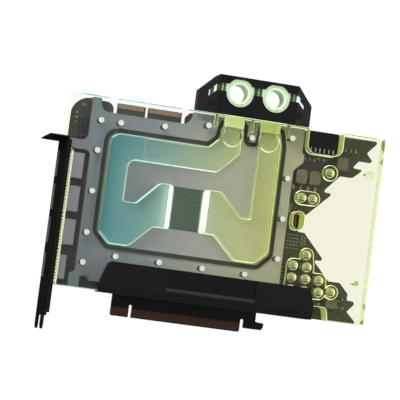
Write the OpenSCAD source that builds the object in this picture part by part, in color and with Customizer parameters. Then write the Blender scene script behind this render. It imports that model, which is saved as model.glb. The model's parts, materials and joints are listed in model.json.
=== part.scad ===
// Full-cover liquid cooling block, shown on the graphics card board that it cools.
// X runs along the board, Z up, and the block faces -Y. Sizes are in millimetres.
// Places are measured from the left end and the lower edge of the edge connector,
// and depths ("w") forward from the board's front face, then the whole is moved so
// that the origin is the connector's key notch.

/* [Circuit board] */
// Thickness of the board
board_t = 1.6; // [1.2:0.1:2.4]
// Height of the board's upper edge above the connector's lower edge
board_top = 134.9; // [134.6:0.1:135.2]
// Height of the shoulder beside the edge connector
shoulder_h = 14.6; // [13.9:0.1:14.9]
// Place of the board's left edge
board_left = -42.8; // [-43.4:0.1:-42]
// Length of the edge connector's tongue
tongue_len = 85.2; // [84.4:0.1:85.6]
// Distance from the tongue's left end to the key notch
key_at = 11.65; // [11.5:0.05:11.8]
// Width of the key notch
key_w = 1.9; // [1.7:0.1:2.1]
// Spacing of the edge contacts
contact_pitch = 1; // [0.98:0.01:1]
// Width of one edge contact
contact_w = 0.7; // [0.5:0.05:0.8]
// Height of one edge contact
contact_h = 5; // [3.5:0.5:6]

/* [Cooling plate] */
// Gap between the board and the back of the plate
plate_gap = 2.7; // [2.2:0.1:3.2]
// Thickness of the plate
plate_t = 4.3; // [4:0.1:6]
// Thickness of one cooling fin
fin_t = 0.5; // [0.4:0.05:0.7]
// Spacing of the cooling fins
fin_pitch = 1; // [0.9:0.05:1.4]
// Depth of the slots between the fins
fin_deep = 2.6; // [1.5:0.1:2.8]

/* [Clear cover] */
// Thickness of the clear cover
cover_t = 13; // [12.6:0.2:16]
// Left edge of the clear cover
cover_left = -45.4; // [-45.5:0.1:-44.8]
// How far the clear cover runs past the plate at the right
cover_past = 56.8; // [55.2:0.2:63.2]
// Upper edge of the clear cover
cover_top = 135.4; // [135.2:0.1:136]
// Lower edge of the clear cover
cover_low = 14.3; // [13.6:0.1:14.4]
// Depth of the main channel
channel_deep = 8; // [6:0.5:8.5]
// Depth of the shallow part of the inlet channel
channel_low = 6; // [4:0.5:7]
// Width of the flat sealing cord
seal_w = 2.6; // [2:0.1:2.8]
// Height of the sealing cord's groove
seal_h = 1.8; // [1.4:0.1:2.4]
// Radius of the cover screws' heads
head_r = 1.7; // [1.5:0.1:2.2]
// Height of the cover screws' heads
head_h = 1.8; // [1.2:0.1:2.4]
// Radius of the cover screws' shanks
shank_r = 1; // [0.8:0.05:1.1]

/* [Port terminal] */
// Wall radius of the threaded ports
port_r = 5.75; // [5.4:0.05:6.2]
// Distance between the two ports
port_gap = 24; // [23:0.5:25]
// Height of the ports' axis above the connector's lower edge
port_z = 150.4; // [149.8:0.2:151]
// Half the depth of the flat upright duct below each port
duct_r = 3.7; // [3:0.1:3.8]
// Radius of the window round each port in the black hood
window_r = 9.05; // [8.4:0.05:9.2]
// Wall of the black hood
hood_wall = 1.6; // [1.2:0.1:1.7]

/* [Slot bracket] */
// Depth of the bracket, which covers two slots
bracket_w = 38.7; // [38:0.1:39.4]
// Thickness of the bracket's sheet
sheet = 0.86; // [0.8:0.02:1]
// Place of the bracket's outer face
bracket_at = -46.6; // [-47.2:0.1:-46.5]
// Height of the bracket's upper face
bracket_top = 106; // [105:0.1:107]
// Spacing of the video sockets
socket_pitch = 21.1; // [20.4:0.1:21.4]

/* [Parts on the board] */
// Side of the processor's carrier
carrier = 42; // [38:0.5:43]
// Height of the memory chips
chip_h = 1.2; // [0.9:0.1:1.4]
// Radius of the round capacitors
can_r = 3.3; // [2.8:0.1:3.5]
// Height of the round capacitors
can_h = 9; // [7.5:0.5:10]
// Height of the square coils
coil_h = 6.2; // [4.5:0.1:6.5]
// Height of the power socket
plug_h = 12; // [10:0.5:13]

/* [Hidden] */

$fn = 48;
tiny = 0.01;
free = 0.15;                        // common clearance round screws and trim

// Depths in front of the board
plate_front = plate_gap + plate_t;
cover_front = plate_front + cover_t;
mid_w = plate_front + cover_t / 2;  // middle of the clear cover
key_x = key_at + key_w / 2;         // the origin's place along the board

// The plate's main edges
plate_l = -28;
plate_r = 104.8;
plate_low = 19.7;
plate_up = 126.7;
plate_top = 135;

// A place along the board, given from the plate's right edge. All that stands there keeps
// its distance from the plate.
function past(d) = plate_r + d;
cover_right = past(cover_past);

// The processor's middle, and the fin field on it
gpu = [37.9, 72.6];
fins = [18.2, 27.2];
fin_n = floor((fins[1] - fin_pitch / 2) / fin_pitch);

// Ports
port_mid = 73;
ports = [port_mid - port_gap / 2, port_mid + port_gap / 2];
duct_half = 3.1;                    // from a duct's middle to the centre of its round ends
duct_up = 6;                        // height of the flat duct inside the terminal
uprights = [port_mid - port_gap, port_mid, port_mid + port_gap];

// The notch for the power plug, the round-ended hole over the light header, and the
// notch in the lower edge that lets the light cable out
cable_notch = [past(17.2), past(32.1), 22.4];
notch = [past(5.5), past(28.7), 119.6];
socket_x = [past(7.2), past(27.6)];
header_hole = [past(5.4), 75.3];

// Cover screws, as the photograph shows them: [x, z]
col_l = plate_l + 3;
col_r = plate_r - 5.2;
row_low = plate_low + 16.9;
screws = concat(
  [for (z = [30.4, 49.3, 75.4, 101.2, 120.3]) [col_l, z]],
  [for (i = [0:3]) [-4.8 + 28.1 * i, row_low]],
  [for (z = [49.1, 74.9, 101.1, 127.2]) [col_r, z]],
  [[-12.4, 120.3], [16, 122.3], [43.9, 127.2], [port_mid, 123.4]]);
end_holes = [[past(48.5), 111.1], [past(48.4), 40.4]];

// Screws from behind the board into the plate's feet: [x, z]
feet = concat(
  [for (i = [-1, 1], k = [-1, 1]) [gpu[0] + 25 * i, gpu[1] + 25 * k]],
  [[-22.5, 111.8], [8, 121.4], [-22.6, 62], [30, 29], [74, 29]],
  [for (z = [89.6, 62.7]) [plate_r - 4.8, z]]);
foot_r = 3;
foot_hole = 1.25;

// Round capacitors that stand by themselves, in a pair and in the corner group: [x, z]
cans = [[past(24.3), 109.1], [past(7.4), 90.8], [past(15), 90.9], [past(15.5), 54.4], [past(7.5), 46.9],
  [past(16.8), 46.8], [past(7.5), 39.1], [past(16.8), 39.1], [past(25.8), 39.3], [past(7.5), 31.4],
  [past(16.8), 31.4], [past(26.4), 31.6], [past(34.6), 32.8]];
can_pocket = can_h + 1.4;           // depth in front of the board of the pockets' roof

// Corner rounding. An outline is a list of corners [x, z, radius].
function unit(v) = v / norm(v);
function arc(p, q, s, r, n) =
  let (a = unit(p - q), b = unit(s - q), half = acos(max(-1, min(1, a * b))) / 2,
    c = q + unit(a + b) * r / sin(half), t = q + a * r / tan(half) - c,
    way = cross(a, b) > 0 ? -1 : 1, turn = way * (180 - 2 * half))
  [for (i = [0:n]) let (w = turn * i / n)
    c + [t[0] * cos(w) - t[1] * sin(w), t[0] * sin(w) + t[1] * cos(w)]];
function flat(c) = [c[0], c[1]];
function rounded(cs, n = 5) = let (m = len(cs)) [for (i = [0:m - 1])
  let (q = cs[i], p = cs[(i + m - 1) % m], s = cs[(i + 1) % m])
  each (q[2] > 0 ? arc(flat(p), flat(q), flat(s), q[2], n) : [flat(q)])];
// The same outline, run counter-clockwise, moved outwards by d
function grown(cs, d) = let (m = len(cs)) [for (i = [0:m - 1])
  let (q = cs[i], p = cs[(i + m - 1) % m], s = cs[(i + 1) % m],
    e = unit(flat(q) - flat(p)), f = unit(flat(s) - flat(q)),
    u = [e[1], -e[0]], v = [f[1], -f[0]], k = (u + v) / (1 + u * v), bend = cross(e, f))
  [q[0] + d * k[0], q[1] + d * k[1], q[2] > 0 ? max(0.2, q[2] + (bend > 0 ? d : -d)) : 0]];

// A flat shape in the X-Z plane, made solid from depth a to depth b in front of the board
module slab(a, b) {
  translate([0, -a, 0]) rotate([90, 0, 0]) linear_extrude(height = b - a) children();
}
// A round rod along the depth
module rod(p, r, a, b) { slab(a, b) translate(p) circle(r = r); }
// A flat shape with two round ends, lying along X
module oval(half, r) {
  for (i = [-1, 1]) translate([half * i, 0]) circle(r = r);
  square([2 * half, 2 * r], center = true);
}
// A block from corner p to corner q in the X-Z plane, from depth a to depth b
module block(p, q, a, b) { slab(a, b) translate(p) square(q - p); }
// A block given by its middle and its size
module chip(c, s, a, b) { slab(a, b) translate(c) square(s, center = true); }
// Moves the measured places so that the origin is the key notch
module home() { translate([-key_x, 0, 0]) children(); }

// Board

// The right edge steps in and out in slanted teeth, down from the upper corner
board_edge = [
  [past(57.4), board_top, 1.2], [past(49.8), 126.4, 1.2], [past(55.4), 120.5, 1.2],
  [past(45.2), 120.5, 1.5], [past(41.2), 115.4, 0.8], [past(48.8), 115.1, 0.8],
  [past(42.2), 109, 2], [past(33.8), 109, 2], [past(23), 97, 1.2], [past(30.3), 96.9, 1],
  [past(13.8), 80.4, 1.5], [past(10), 80.2, 0.5], [past(10), 69.2, 0.5], [past(14.5), 69, 1.2],
  [past(29.9), 52.6, 1.2], [past(22.6), 52.4, 1], [past(34.4), 40, 2], [past(42.2), 40, 2],
  [past(48.5), 33.6, 1.2], [past(48.3), 29.3, 0.8], [past(55.4), 29.2, 1.6],
  [past(49.1), 22, 1.2], [past(57.1), shoulder_h, 1.2]];
hook_x = tongue_len + 2.2;          // the catch beside the tongue
bridge_top = board_top - 0.8;       // the raised bridge tongues end a little lower
bridge_a = [-13.3, 5];
bridge_b = [6.7, 28.8];

module board() {
  color([0.17, 0.17, 0.16]) home() difference() {
    slab(-board_t, 0) difference() {
      union() {
        polygon(rounded(concat(board_edge,
          [[hook_x + 7.8, shoulder_h, 0], [hook_x + 7.8, 7.9, 0.8], [hook_x + 13.4, 7.4, 0.5],
           [hook_x + 13.4, 5.2, 0.5], [hook_x + 12.3, 2.9, 0.5], [hook_x, 2.9, 0.6],
           [hook_x, 8.4, 0.8], [tongue_len, 8.4, 0.8], [tongue_len, 0, 1.2], [0, 0, 1.2],
           [0, shoulder_h, 0], [board_left, shoulder_h, 0.5], [board_left, board_top, 12.2],
           [-25.5, board_top, 0], [-25.5, bridge_top, 0], [bridge_a[0] - 2.3, bridge_top, 5],
           [bridge_a[0] - 2.3, 125, 0], [bridge_a[0], 125, 0], [bridge_a[0], bridge_top, 0.5],
           [bridge_a[1], bridge_top, 0.5], [bridge_a[1], 125, 0], [bridge_b[0], 125, 0],
           [bridge_b[0], bridge_top, 0.5], [bridge_b[1], bridge_top, 0.5], [bridge_b[1], 125, 0],
           [bridge_b[1] + 2.4, 125, 0], [bridge_b[1] + 2.4, 131.7, 0.5],
           [bridge_b[1] + 5.4, board_top, 0.5]])));
      }
      translate([key_at, -1]) square([key_w, 8.2]);
      translate([key_x, 7.2]) circle(d = key_w);
    }
    for (p = feet) rod(p, foot_hole + 0.35, -board_t - 1, 1);
    for (p = ear_holes) rod(p, 1.4, -board_t - 1, 1);
  }
}

module contact_row(x0, n, z0, h, w = contact_w) {
  for (i = [0:n - 1], side = [0, 1])
    block([x0 + i * contact_pitch, z0], [x0 + i * contact_pitch + w, z0 + h],
      side * (-board_t - 0.08), side * (-board_t - 0.08) + 0.08);
}

module edge_contacts() {
  color([0.75, 0.58, 0.3]) home() {
    contact_row(0.5, 11, 0.7, contact_h);
    contact_row(key_at + key_w + 0.3, 71, 0.7, contact_h);
  }
}

module bridge_contacts() {
  color([0.8, 0.62, 0.45]) home() {
    contact_row(bridge_a[0] + 0.5, 17, bridge_top - 3.1, 2.8);
    contact_row(bridge_b[0] + 0.5, 21, bridge_top - 3.1, 2.8);
  }
}

module processor_carrier() {
  color([0.1, 0.25, 0.15]) home() chip(gpu, [carrier, carrier], 0, plate_gap - 0.8);
}
module processor_die() {
  color([0.2, 0.2, 0.22]) home() chip(gpu, [24, 26], plate_gap - 0.8, plate_gap);
}

memory = concat([for (i = [-1, 1], k = [0:3]) [gpu[0] + 35.9 * i, 45.5 + 15 * k]],
  [for (k = [0:3]) [gpu[0] - 21 + 14.4 * k, 107.6]]);
memory_r = gpu[0] + 35.9 + 6;       // right edge of the memory chips
stage_x = memory_r + 0.8 * (plate_r - memory_r);
stages = concat([for (k = [0:4]) [stage_x, 41.5 + 4 * k]], [for (k = [0:4]) [stage_x, 68 + 4 * k]],
  [for (k = [0:3]) [stage_x, 95 + 4 * k]]);
function upright(i) = i < 8;        // the side chips stand upright, the upper ones lie

module memory_chips() {
  color([0.08, 0.08, 0.09]) home() for (i = [0:len(memory) - 1])
    chip(memory[i], upright(i) ? [12, 14] : [13.4, 12], 0, chip_h);
}
module thermal_pads() {
  color([0.55, 0.55, 0.6]) home() {
    for (i = [0:len(memory) - 1])
      chip(memory[i], upright(i) ? [11, 13] : [12.4, 11], chip_h, plate_gap);
    for (p = stages) chip(p, [5, 3], chip_h, plate_gap);
  }
}
module power_stages() {
  color([0.1, 0.1, 0.1]) home() for (p = stages) chip(p, [6, 3.6], 0, chip_h);
}

// Coils: a grey pressed block with a step at each solder end
coils = [[past(6.5), 104.6, 9.4], [past(15.4), 104.6, 9.4], [past(32.7), 116.4, 9.2], [past(36.8), 25.8, 7]];
module square_coils() {
  color([0.42, 0.41, 0.4]) home() for (c = coils) {
    chip([c[0], c[1]], [7.2, c[2] - 1.2], 0, coil_h);
    for (k = [-1, 1]) chip([c[0], c[1] + k * (c[2] / 2 - 0.5)], [4.4, 1], 0, coil_h - 1);
  }
}

module round_capacitors() {
  color([0.78, 0.83, 0.7]) home() for (p = cans) {
    difference() {
      rod(p, can_r, 1, can_h);
      slab(can_r > 3 ? 2.2 : 2, 2.6) translate(p) difference() {
        circle(r = can_r + 1);
        circle(r = can_r - 0.25);
      }
    }
    chip(p, [2 * can_r - 0.2, 2 * can_r - 0.2], 0, 1);
  }
}

// Small chips and resistors in rows
module small_row(p, n, step, s, h) {
  for (i = [0:n - 1]) chip([p[0] + i * step[0], p[1] + i * step[1]], s, 0, h);
}
module small_board_parts() {
  color([0.62, 0.58, 0.5]) home() {
    small_row([past(3), 97.9], 4, [4.9, 0], [1.3, 3], 1.1);
    small_row([past(8.7), 116.6], 4, [3.1, 0.1], [1.2, 1.8], 1);
    small_row([past(17.6), 118.2], 2, [3.4, -0.5], [2.4, 1.3], 0.9);
    small_row([past(35.2), 126.5], 3, [3.5, 0], [1, 2.4], 1);
    small_row([past(33), 127], 1, [3, 0], [1.2, 4.2], 1.4);
    for (k = [0:4]) small_row([past(3.8), 58 + 2.2 * k], 4, [2.1, 0], [1.2, 0.7], 0.6);
    for (k = [0:3]) small_row([past(13.2), 60.6 + 1.9 * k], 2, [1.9, -0.8], [1.2, 0.7], 0.6);
    small_row([past(2.6), 81.5], 4, [0, 1.5], [1.6, 0.8], 0.7);
    small_row([past(2.4), 36], 5, [0, 2.2], [1.2, 1], 0.8);
    small_row([past(29.4), 24.5], 2, [0, 3], [2, 1.6], 1.4);
    small_row([past(42.6), 24], 3, [2, 0], [0.8, 1.8], 0.8);
    small_row([past(43.4), 28.4], 2, [1.8, 1.2], [0.8, 1.6], 0.8);
    small_row([past(13.5), 26], 3, [2.8, 0], [1.4, 0.9], 0.8);
    small_row([-38.6, 118.5], 3, [0, 3], [1.4, 0.8], 0.7);
    small_row([-35.6, 129.8], 2, [2, 0], [0.9, 1.5], 0.7);
  }
  color([0.62, 0.58, 0.5]) home() {
    for (k = [0:5], i = [-1, 1])
      chip([gpu[0] + 3.4 * k - 8.5, gpu[1] + i * 7], [1.6, 0.9], -board_t - 0.9, -board_t);
    for (k = [0:3], i = [-1, 0, 1])
      chip([gpu[0] + 3.4 * k - 5, gpu[1] + i * 2.6], [1.6, 0.9], -board_t - 0.9, -board_t);
  }
}

// Twelve-way power socket, open upwards, with a rib for the plug's latch
cell = 2.2;
cell_pitch = (socket_x[1] - socket_x[0] - 2.4) / 6;
module power_socket() {
  color([0.05, 0.05, 0.05]) home() difference() {
    union() {
      slab(0, plug_h) polygon([[socket_x[0] + 1.5, 121.2], [socket_x[1] - 1.5, 121.2],
        [socket_x[1], 122.7], [socket_x[1], board_top], [socket_x[0], board_top], [socket_x[0], 122.7]]);
      chip([socket_mid, 131.4], [3, 1.6], plug_h, plug_h + 0.8);
    }
    for (i = [0:5], k = [0, 1]) cell_void(i, k);
    for (i = [0:5]) chip([cell_x(i), 122.5], [1.1, 4], plug_h - 0.7, plug_h + 1);
  }
}
socket_mid = (socket_x[0] + socket_x[1]) / 2;
function cell_x(i) = socket_x[0] + 1.2 + cell_pitch * (i + 0.5);
function cell_w(k) = plug_h / 2 + (k - 0.5) * 4.2;
module cell_void(i, k) {
  translate([cell_x(i) - cell / 2, -cell_w(k) - cell / 2, board_top - 9]) cube([cell, cell, 10]);
}
module power_pins() {
  color([0.82, 0.82, 0.84]) home() {
    for (i = [0:5]) {
      chip([cell_x(i), 122.7], [0.8, 3], plug_h - 0.7, plug_h - 0.2);
      for (k = [0, 1]) translate([cell_x(i) - 0.4, -cell_w(k) - 0.4, board_top - 9]) cube([0.8, 0.8, 7]);
    }
  }
}

// Header for the light cable, seen through its own hole in the clear cover
header_c = [past(7.1), 75.3];
header_s = [5.6, 10.4];
header_h = 6.8;
module light_header() {
  color([0.42, 0.3, 0.12]) home() difference() {
    chip(header_c, header_s, 0, header_h);
    chip(header_c, header_s - [1.6, 1.6], 1.4, header_h + 1);
  }
}
module light_header_pins() {
  color([0.85, 0.7, 0.35]) home() for (k = [-1.5, -0.5, 0.5, 1.5])
    chip([header_c[0], header_c[1] + 2 * k], [0.6, 0.6], 1.4, header_h - 0.6);
}

module side_header() {
  color([0.07, 0.07, 0.08]) home() difference() {
    chip([-34.2, 115.6], [4.6, 12], 0, 3.2);
    for (k = [-2:2]) chip([-34.2, 115.6 + 2.2 * k], [2.2, 1.2], 2, 4);
  }
}

// Three wide video sockets and a narrower one, in metal shells behind the bracket
wide = [16, 6.2, 15.4];             // along Z, off the board, behind the bracket's face
slim = [15, 5.8, 12.6];
wide_z = [for (k = [0:2]) 90.6 - socket_pitch * k];
slim_z = 90.6 - socket_pitch * 3 - 1.2;
shell_t = 0.4;
module shell(z, s, body_from) {
  difference() {
    block([bracket_at - 0.2, z - s[0] / 2], [bracket_at + s[2], z + s[0] / 2], 0.2, s[1]);
    block([bracket_at - 1, z - s[0] / 2 + shell_t], [bracket_at + s[2] + 1, z + s[0] / 2 - shell_t],
      0.2 + shell_t, s[1] - shell_t);
  }
  for (k = [-1, 1]) chip([bracket_at + s[2] - 3, z + k * (s[0] / 2 - 0.6)], [1.6, 0.6], 0, 0.2);
}
module body_fill(z, s) {
  block([bracket_at + 9, z - s[0] / 2 + shell_t], [bracket_at + s[2] - 0.5, z + s[0] / 2 - shell_t],
    0.2 + shell_t, s[1] - shell_t);
}
module tongue(z, s) {
  block([bracket_at + 1.4, z - s[0] / 2 + 2], [bracket_at + 9, z + s[0] / 2 - 2],
    s[1] / 2 - 0.4, s[1] / 2 + 0.6);
}
module video_socket_shells() {
  color([0.5, 0.5, 0.52]) home() {
    for (z = wide_z) shell(z, wide);
    shell(slim_z, slim);
  }
}
module video_socket_bodies() {
  color([0.06, 0.06, 0.07]) home() {
    for (z = wide_z) body_fill(z, wide);
    body_fill(slim_z, slim);
  }
}
module video_socket_tongues() {
  color([0.12, 0.12, 0.12]) home() {
    for (z = wide_z) tongue(z, wide);
    tongue(slim_z, slim);
  }
}

// Bracket: a bent sheet with two lower prongs, an upper tab and two ears behind the board
bracket_back = -3.5;
bracket_foot = bracket_top - 120;
prong_l = 8.4;
tab_out = 11.4;
// the ears' screws stand above and below the three wide sockets
ear_holes = [for (z = [wide_z[0] + wide[0] / 2 + 4, wide_z[2] - wide[0] / 2 - 3.4]) [board_left + 5, z]];
ear_h = 3;                          // half the height of an ear
module slot_bracket() {
  color([0.07, 0.07, 0.07]) home() {
    difference() {
      union() {
        // upright sheet
        translate([bracket_at, -bracket_back - bracket_w, bracket_foot + prong_l])
          cube([sheet, bracket_w, bracket_top - bracket_foot - prong_l]);
        // prongs
        for (k = [0, 1]) translate([bracket_at, -(bracket_back + 0.3 + 20.32 * k) - 10.2, bracket_foot])
          intersection() {
            cube([sheet, 10.2, prong_l + 1]);
            translate([0, 5.1, 0]) rotate([90, 0, 90]) linear_extrude(height = sheet)
              polygon([[-5.1, prong_l + 1], [-5.1, 2.5], [-3, 0], [3, 0], [5.1, 2.5], [5.1, prong_l + 1]]);
          }
        // upper tab, bent outwards
        translate([bracket_at - tab_out, -bracket_back - bracket_w, bracket_top - sheet])
          cube([tab_out + sheet, bracket_w, sheet]);
        // stiffening edge along the front
        translate([bracket_at, -bracket_back - bracket_w, bracket_foot + prong_l + 2])
          cube([2.4, sheet, bracket_top - bracket_foot - prong_l - 4]);
        // ears that carry the board
        for (p = ear_holes) translate([bracket_at, board_t, p[1] - ear_h])
          cube([p[0] - bracket_at + ear_h, sheet, 2 * ear_h]);
      }
      for (z = wide_z) socket_window(z, wide);
      socket_window(slim_z, slim);
      // open notches for the case screws
      for (k = [0, 1]) translate([bracket_at - tab_out, -(bracket_back + 5.4 + 20.32 * k), bracket_top]) {
        translate([1.6, 0, 0]) cylinder(r = 2.2, h = 4, center = true);
        translate([-1, -2.2, -2]) cube([2.6, 4.4, 4]);
      }
      for (p = ear_holes) rod(p, 1.4, -board_t - 2, -board_t + 1);
    }
  }
}
module socket_window(z, s) {
  block([bracket_at - 1, z - s[0] / 2 - free], [bracket_at + sheet + tiny, z + s[0] / 2 + free],
    0.2 - free, s[1] + free);
}
// Pan-headed screw from behind the board
module back_screw(p, seat, r, length, hr) {
  rod(p, r, seat, seat + length);
  difference() {
    rod(p, hr, seat - 1.6, seat);
    slab(seat - 2, seat - 0.7) translate(p) for (a = [0, 90]) rotate(a) square([hr * 1.1, 0.6], center = true);
  }
}
module bracket_screws() {
  color([0.12, 0.12, 0.12]) home() for (p = ear_holes)
    back_screw(p, -board_t - sheet, 1.25, board_t + sheet + 0.8, 2.4);
}

// Cooling plate

plate_edge = [[-31.4, 14.9, 0.5], [-24.5, 14.9, 0.5], [-24.5, 22.2, 2], [-18.6, 22.2, 2.4],
  [-18.6, plate_low, 0], [plate_r, plate_low, 2], [plate_r, 107.4, 3], [past(6), 113.4, 3],
  [past(6), 118.4, 0.6], [past(4.5), 119.4, 0.6],
  [past(4.5), plate_top, 0.6], [34.8, plate_top, 0.6], [34.8, plate_up, 6.5], [-25, plate_up, 5.5],
  [-25, plate_top, 0.5], [-30.6, plate_top, 0.5], [-30.6, 107.1, 4.5], [-42.4, 107.1, 0.8],
  [-42.4, 101.1, 3.4], [plate_l, 101.1, 3.2], [plate_l, 24.8, 1.2], [-31.4, 23.1, 1.2]];
module cooling_plate() {
  color([0.6, 0.62, 0.63]) home() difference() {
    union() {
      slab(plate_gap, plate_front) polygon(rounded(plate_edge));
      for (p = feet) rod(p, foot_r, 0, plate_gap + tiny);
    }
    // slots between the fins, open to the channels at both ends
    for (i = [0:fin_n]) let (z = gpu[1] + (i - fin_n / 2) * fin_pitch)
      block([gpu[0] - fins[0] / 2 - 4.4, z - (fin_pitch - fin_t) / 2],
        [gpu[0] + fins[0] / 2 + 4.4, z + (fin_pitch - fin_t) / 2], plate_front - fin_deep, plate_front + 1);
    for (p = feet) rod(p, foot_hole, -1, plate_gap + 2.2);
    for (p = screws) rod(p, shank_r + 0.02, plate_front - 3, plate_front + 1);
  }
}

// Clear cover

// Middle line of the sealing cord, round both channels
seal_line = [[-10.2, 42.2, 4], [plate_r - 16.4, 42.2, 5], [plate_r - 8.2, 50.6, 5],
  [plate_r - 8.2, 121.5, 5], [port_mid + 21.2, 132.2, 3.4], [port_mid + 6.3, 132.2, 2.4],
  [port_mid + 5.4, 119.9, 3], [port_mid - 2.4, 119.9, 3], [port_mid - 3.3, 132.2, 2.4],
  [port_mid - 18.6, 132.2, 3.4], [port_mid - 21.4, 121.2, 3], [port_mid - 26.4, 116.2, 4],
  [-19.2, 116.2, 8], [-19.2, 51.2, 4]];
// The inlet channel hooks round a tongue of solid material to the fins' left end
inlet = [[-9.6, 44.6, 4], [3.2, 44.6, 3.5], [17.2, 58.6, 3.5], [28.8, 58.9, 2], [28.8, 86.6, 3.5],
  [18.6, 86.6, 5], [4.6, 71.8, 4], [-3.9, 71.8, 0.8], [-3.9, 98.9, 5], [port_mid - 18.6, 98.9, 3],
  [port_mid - 5.6, 112.4, 3],
  [port_mid - 6.2, 129.4, 4.5], [port_mid - 19.6, 129.4, 4], [port_mid - 19.8, 120.2, 2],
  [port_mid - 26, 113.9, 3], [-16.9, 113.9, 7], [-16.9, 51.8, 3]];
// The outlet channel leads from the fins' right end up to the other port
outlet = [[47, 58.9, 2], [57.6, 58.9, 4], [72.2, 44.6, 4], [plate_r - 18.8, 44.6, 4],
  [plate_r - 11.2, 52.2, 4], [plate_r - 11.6, 122, 4], [port_mid + 18.4, 129.4, 3.5],
  [port_mid + 7.2, 129.4, 4], [port_mid + 7, 71.8, 1.5], [72.6, 71.8, 2],
  [58.6, 86.6, 3.5], [47, 86.6, 3.5]];

module can_pockets(r) {
  translate(cans[0]) circle(r = r + 0.5);
  for (g = [[1, 2], [3, 5], [4, 5], [4, 6], [6, 7], [5, 7], [7, 8], [6, 9], [9, 10], [10, 11], [8, 11]])
    let (a = cans[g[0]], b = cans[g[1]], d = b - a)
    translate(a) rotate(atan2(d[1], d[0])) {
      circle(r = r);
      translate([norm(d), 0]) circle(r = r);
      translate([0, -r]) square([norm(d), 2 * r]);
    }
  translate(cans[12]) circle(r = r);
}

module clear_cover() {
  color([0.86, 0.93, 0.84, 0.4]) home() difference() {
    slab(plate_front, cover_front) polygon(rounded([[-40.2, cover_low, 0.5],
      [cable_notch[0], cover_low, 0.3], [cable_notch[0], cable_notch[2], 1],
      [cable_notch[1] - 1.5, cable_notch[2], 3], [cable_notch[1], cover_low, 0.4],
      [cover_right, cover_low, 0.8],
      [cover_right, cover_top, 1], [notch[1], cover_top, 1.6], [notch[1], notch[2], 5.5],
      [notch[0], notch[2], 5.5], [notch[0], cover_top, 0.5], [cover_left, cover_top, 1],
      [cover_left, 103.4, 0.5], [-40.2, 98.2, 0.5]]));
    // channels, with a ramp down to each end of the fins
    difference() {
      slab(plate_front - 1, plate_front + channel_low) polygon(rounded(inlet));
      ramp(gpu[0] - fins[0] / 2, -1);
    }
    difference() {
      slab(plate_front + channel_low - 1, plate_front + channel_deep) intersection() {
        polygon(rounded(inlet));
        union() {
          polygon(rounded([[-30, 40, 0], [5.4, 40, 0], [5.4, 118, 0], [5.4, 115, 3.5], [-30, 115, 0]]));
          translate([-1, 40]) square([40, 48]);
        }
      }
      ramp(gpu[0] - fins[0] / 2, -1);
    }
    difference() {
      slab(plate_front - 1, plate_front + channel_low + 0.8) polygon(rounded(outlet));
      ramp(gpu[0] + fins[0] / 2, 1);
    }
    // round wells under the ports, and the ducts up to them
    for (x = ports) {
      rod([x - 0.2, 122.5], 6.3, plate_front - 1, plate_front + 10);
      translate([x, -mid_w, 122.5]) linear_extrude(height = cover_top - 122.5 + 1) oval(duct_half, duct_r);
    }
    // groove for the sealing cord
    slab(plate_front - 1, plate_front + seal_h) difference() {
      polygon(rounded(grown(seal_line, seal_w / 2 + 0.1)));
      polygon(rounded(grown(seal_line, -seal_w / 2 - 0.1)));
    }
    // screw holes with a seat for each head
    for (p = screws) {
      rod(p, shank_r + free, plate_front - 1, cover_front + 1);
      rod(p, head_r + free, cover_front - head_h - 0.4, cover_front + 1);
    }
    for (p = end_holes) rod(p, 1.6, plate_front - 1, cover_front + 1);
    rod(end_holes[0], 2.6, cover_front - 1.6, cover_front + 1);
    for (x = uprights) translate([x, -mid_w, cover_top - 8]) cylinder(r = 1.35, h = 9);
    // room for the tall capacitors
    slab(plate_front - 1, can_pocket) can_pockets(can_r + 1.2);
    // round-ended hole over the light header
    slab(plate_front - 1, cover_front + 1) for (k = [-1, 1])
      translate([header_hole[0], header_hole[1] + k * 2.2]) circle(r = 3.75);
    block(header_hole - [3.75, 2.2], header_hole + [3.75, 2.2], plate_front - 1, cover_front + 1);
  }
}
// A wedge that brings the channel's roof down to the plate at x, rising towards side d
module ramp(x, d) {
  translate([x, 0, gpu[1] - fins[1] / 2 - 3]) linear_extrude(height = fins[1] + 6)
    polygon([[-d, -plate_front + 2], [-d, -plate_front - 9], [d * 5, -plate_front - 9],
      [0, -plate_front + 2]]);
}

module sealing_cord() {
  color([0.15, 0.16, 0.16]) home() slab(plate_front, plate_front + seal_h) difference() {
    polygon(rounded(grown(seal_line, seal_w / 2)));
    polygon(rounded(grown(seal_line, -seal_w / 2)));
  }
}

// A cap screw from the front: round head with a six-sided socket
module cap_screw(p, seat, r, length, hr, hh) {
  rod(p, r, seat - length, seat + tiny);
  difference() {
    rod(p, hr, seat, seat + hh);
    slab(seat + hh * 0.4, seat + hh + 1) translate(p) circle(r = hr * 0.5, $fn = 6);
  }
}
module cover_screws() {
  color([0.9, 0.9, 0.88]) home() for (p = screws)
    cap_screw(p, cover_front - head_h - 0.4, shank_r, cover_t - head_h - 0.4 + 2.8, head_r, head_h);
}
module end_standoff() {
  color([0.75, 0.75, 0.72]) home() cap_screw(end_holes[0], cover_front - 1.6, 1.5, cover_t - 1.6, 2.4, 1.2);
}

// Port terminal

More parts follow.
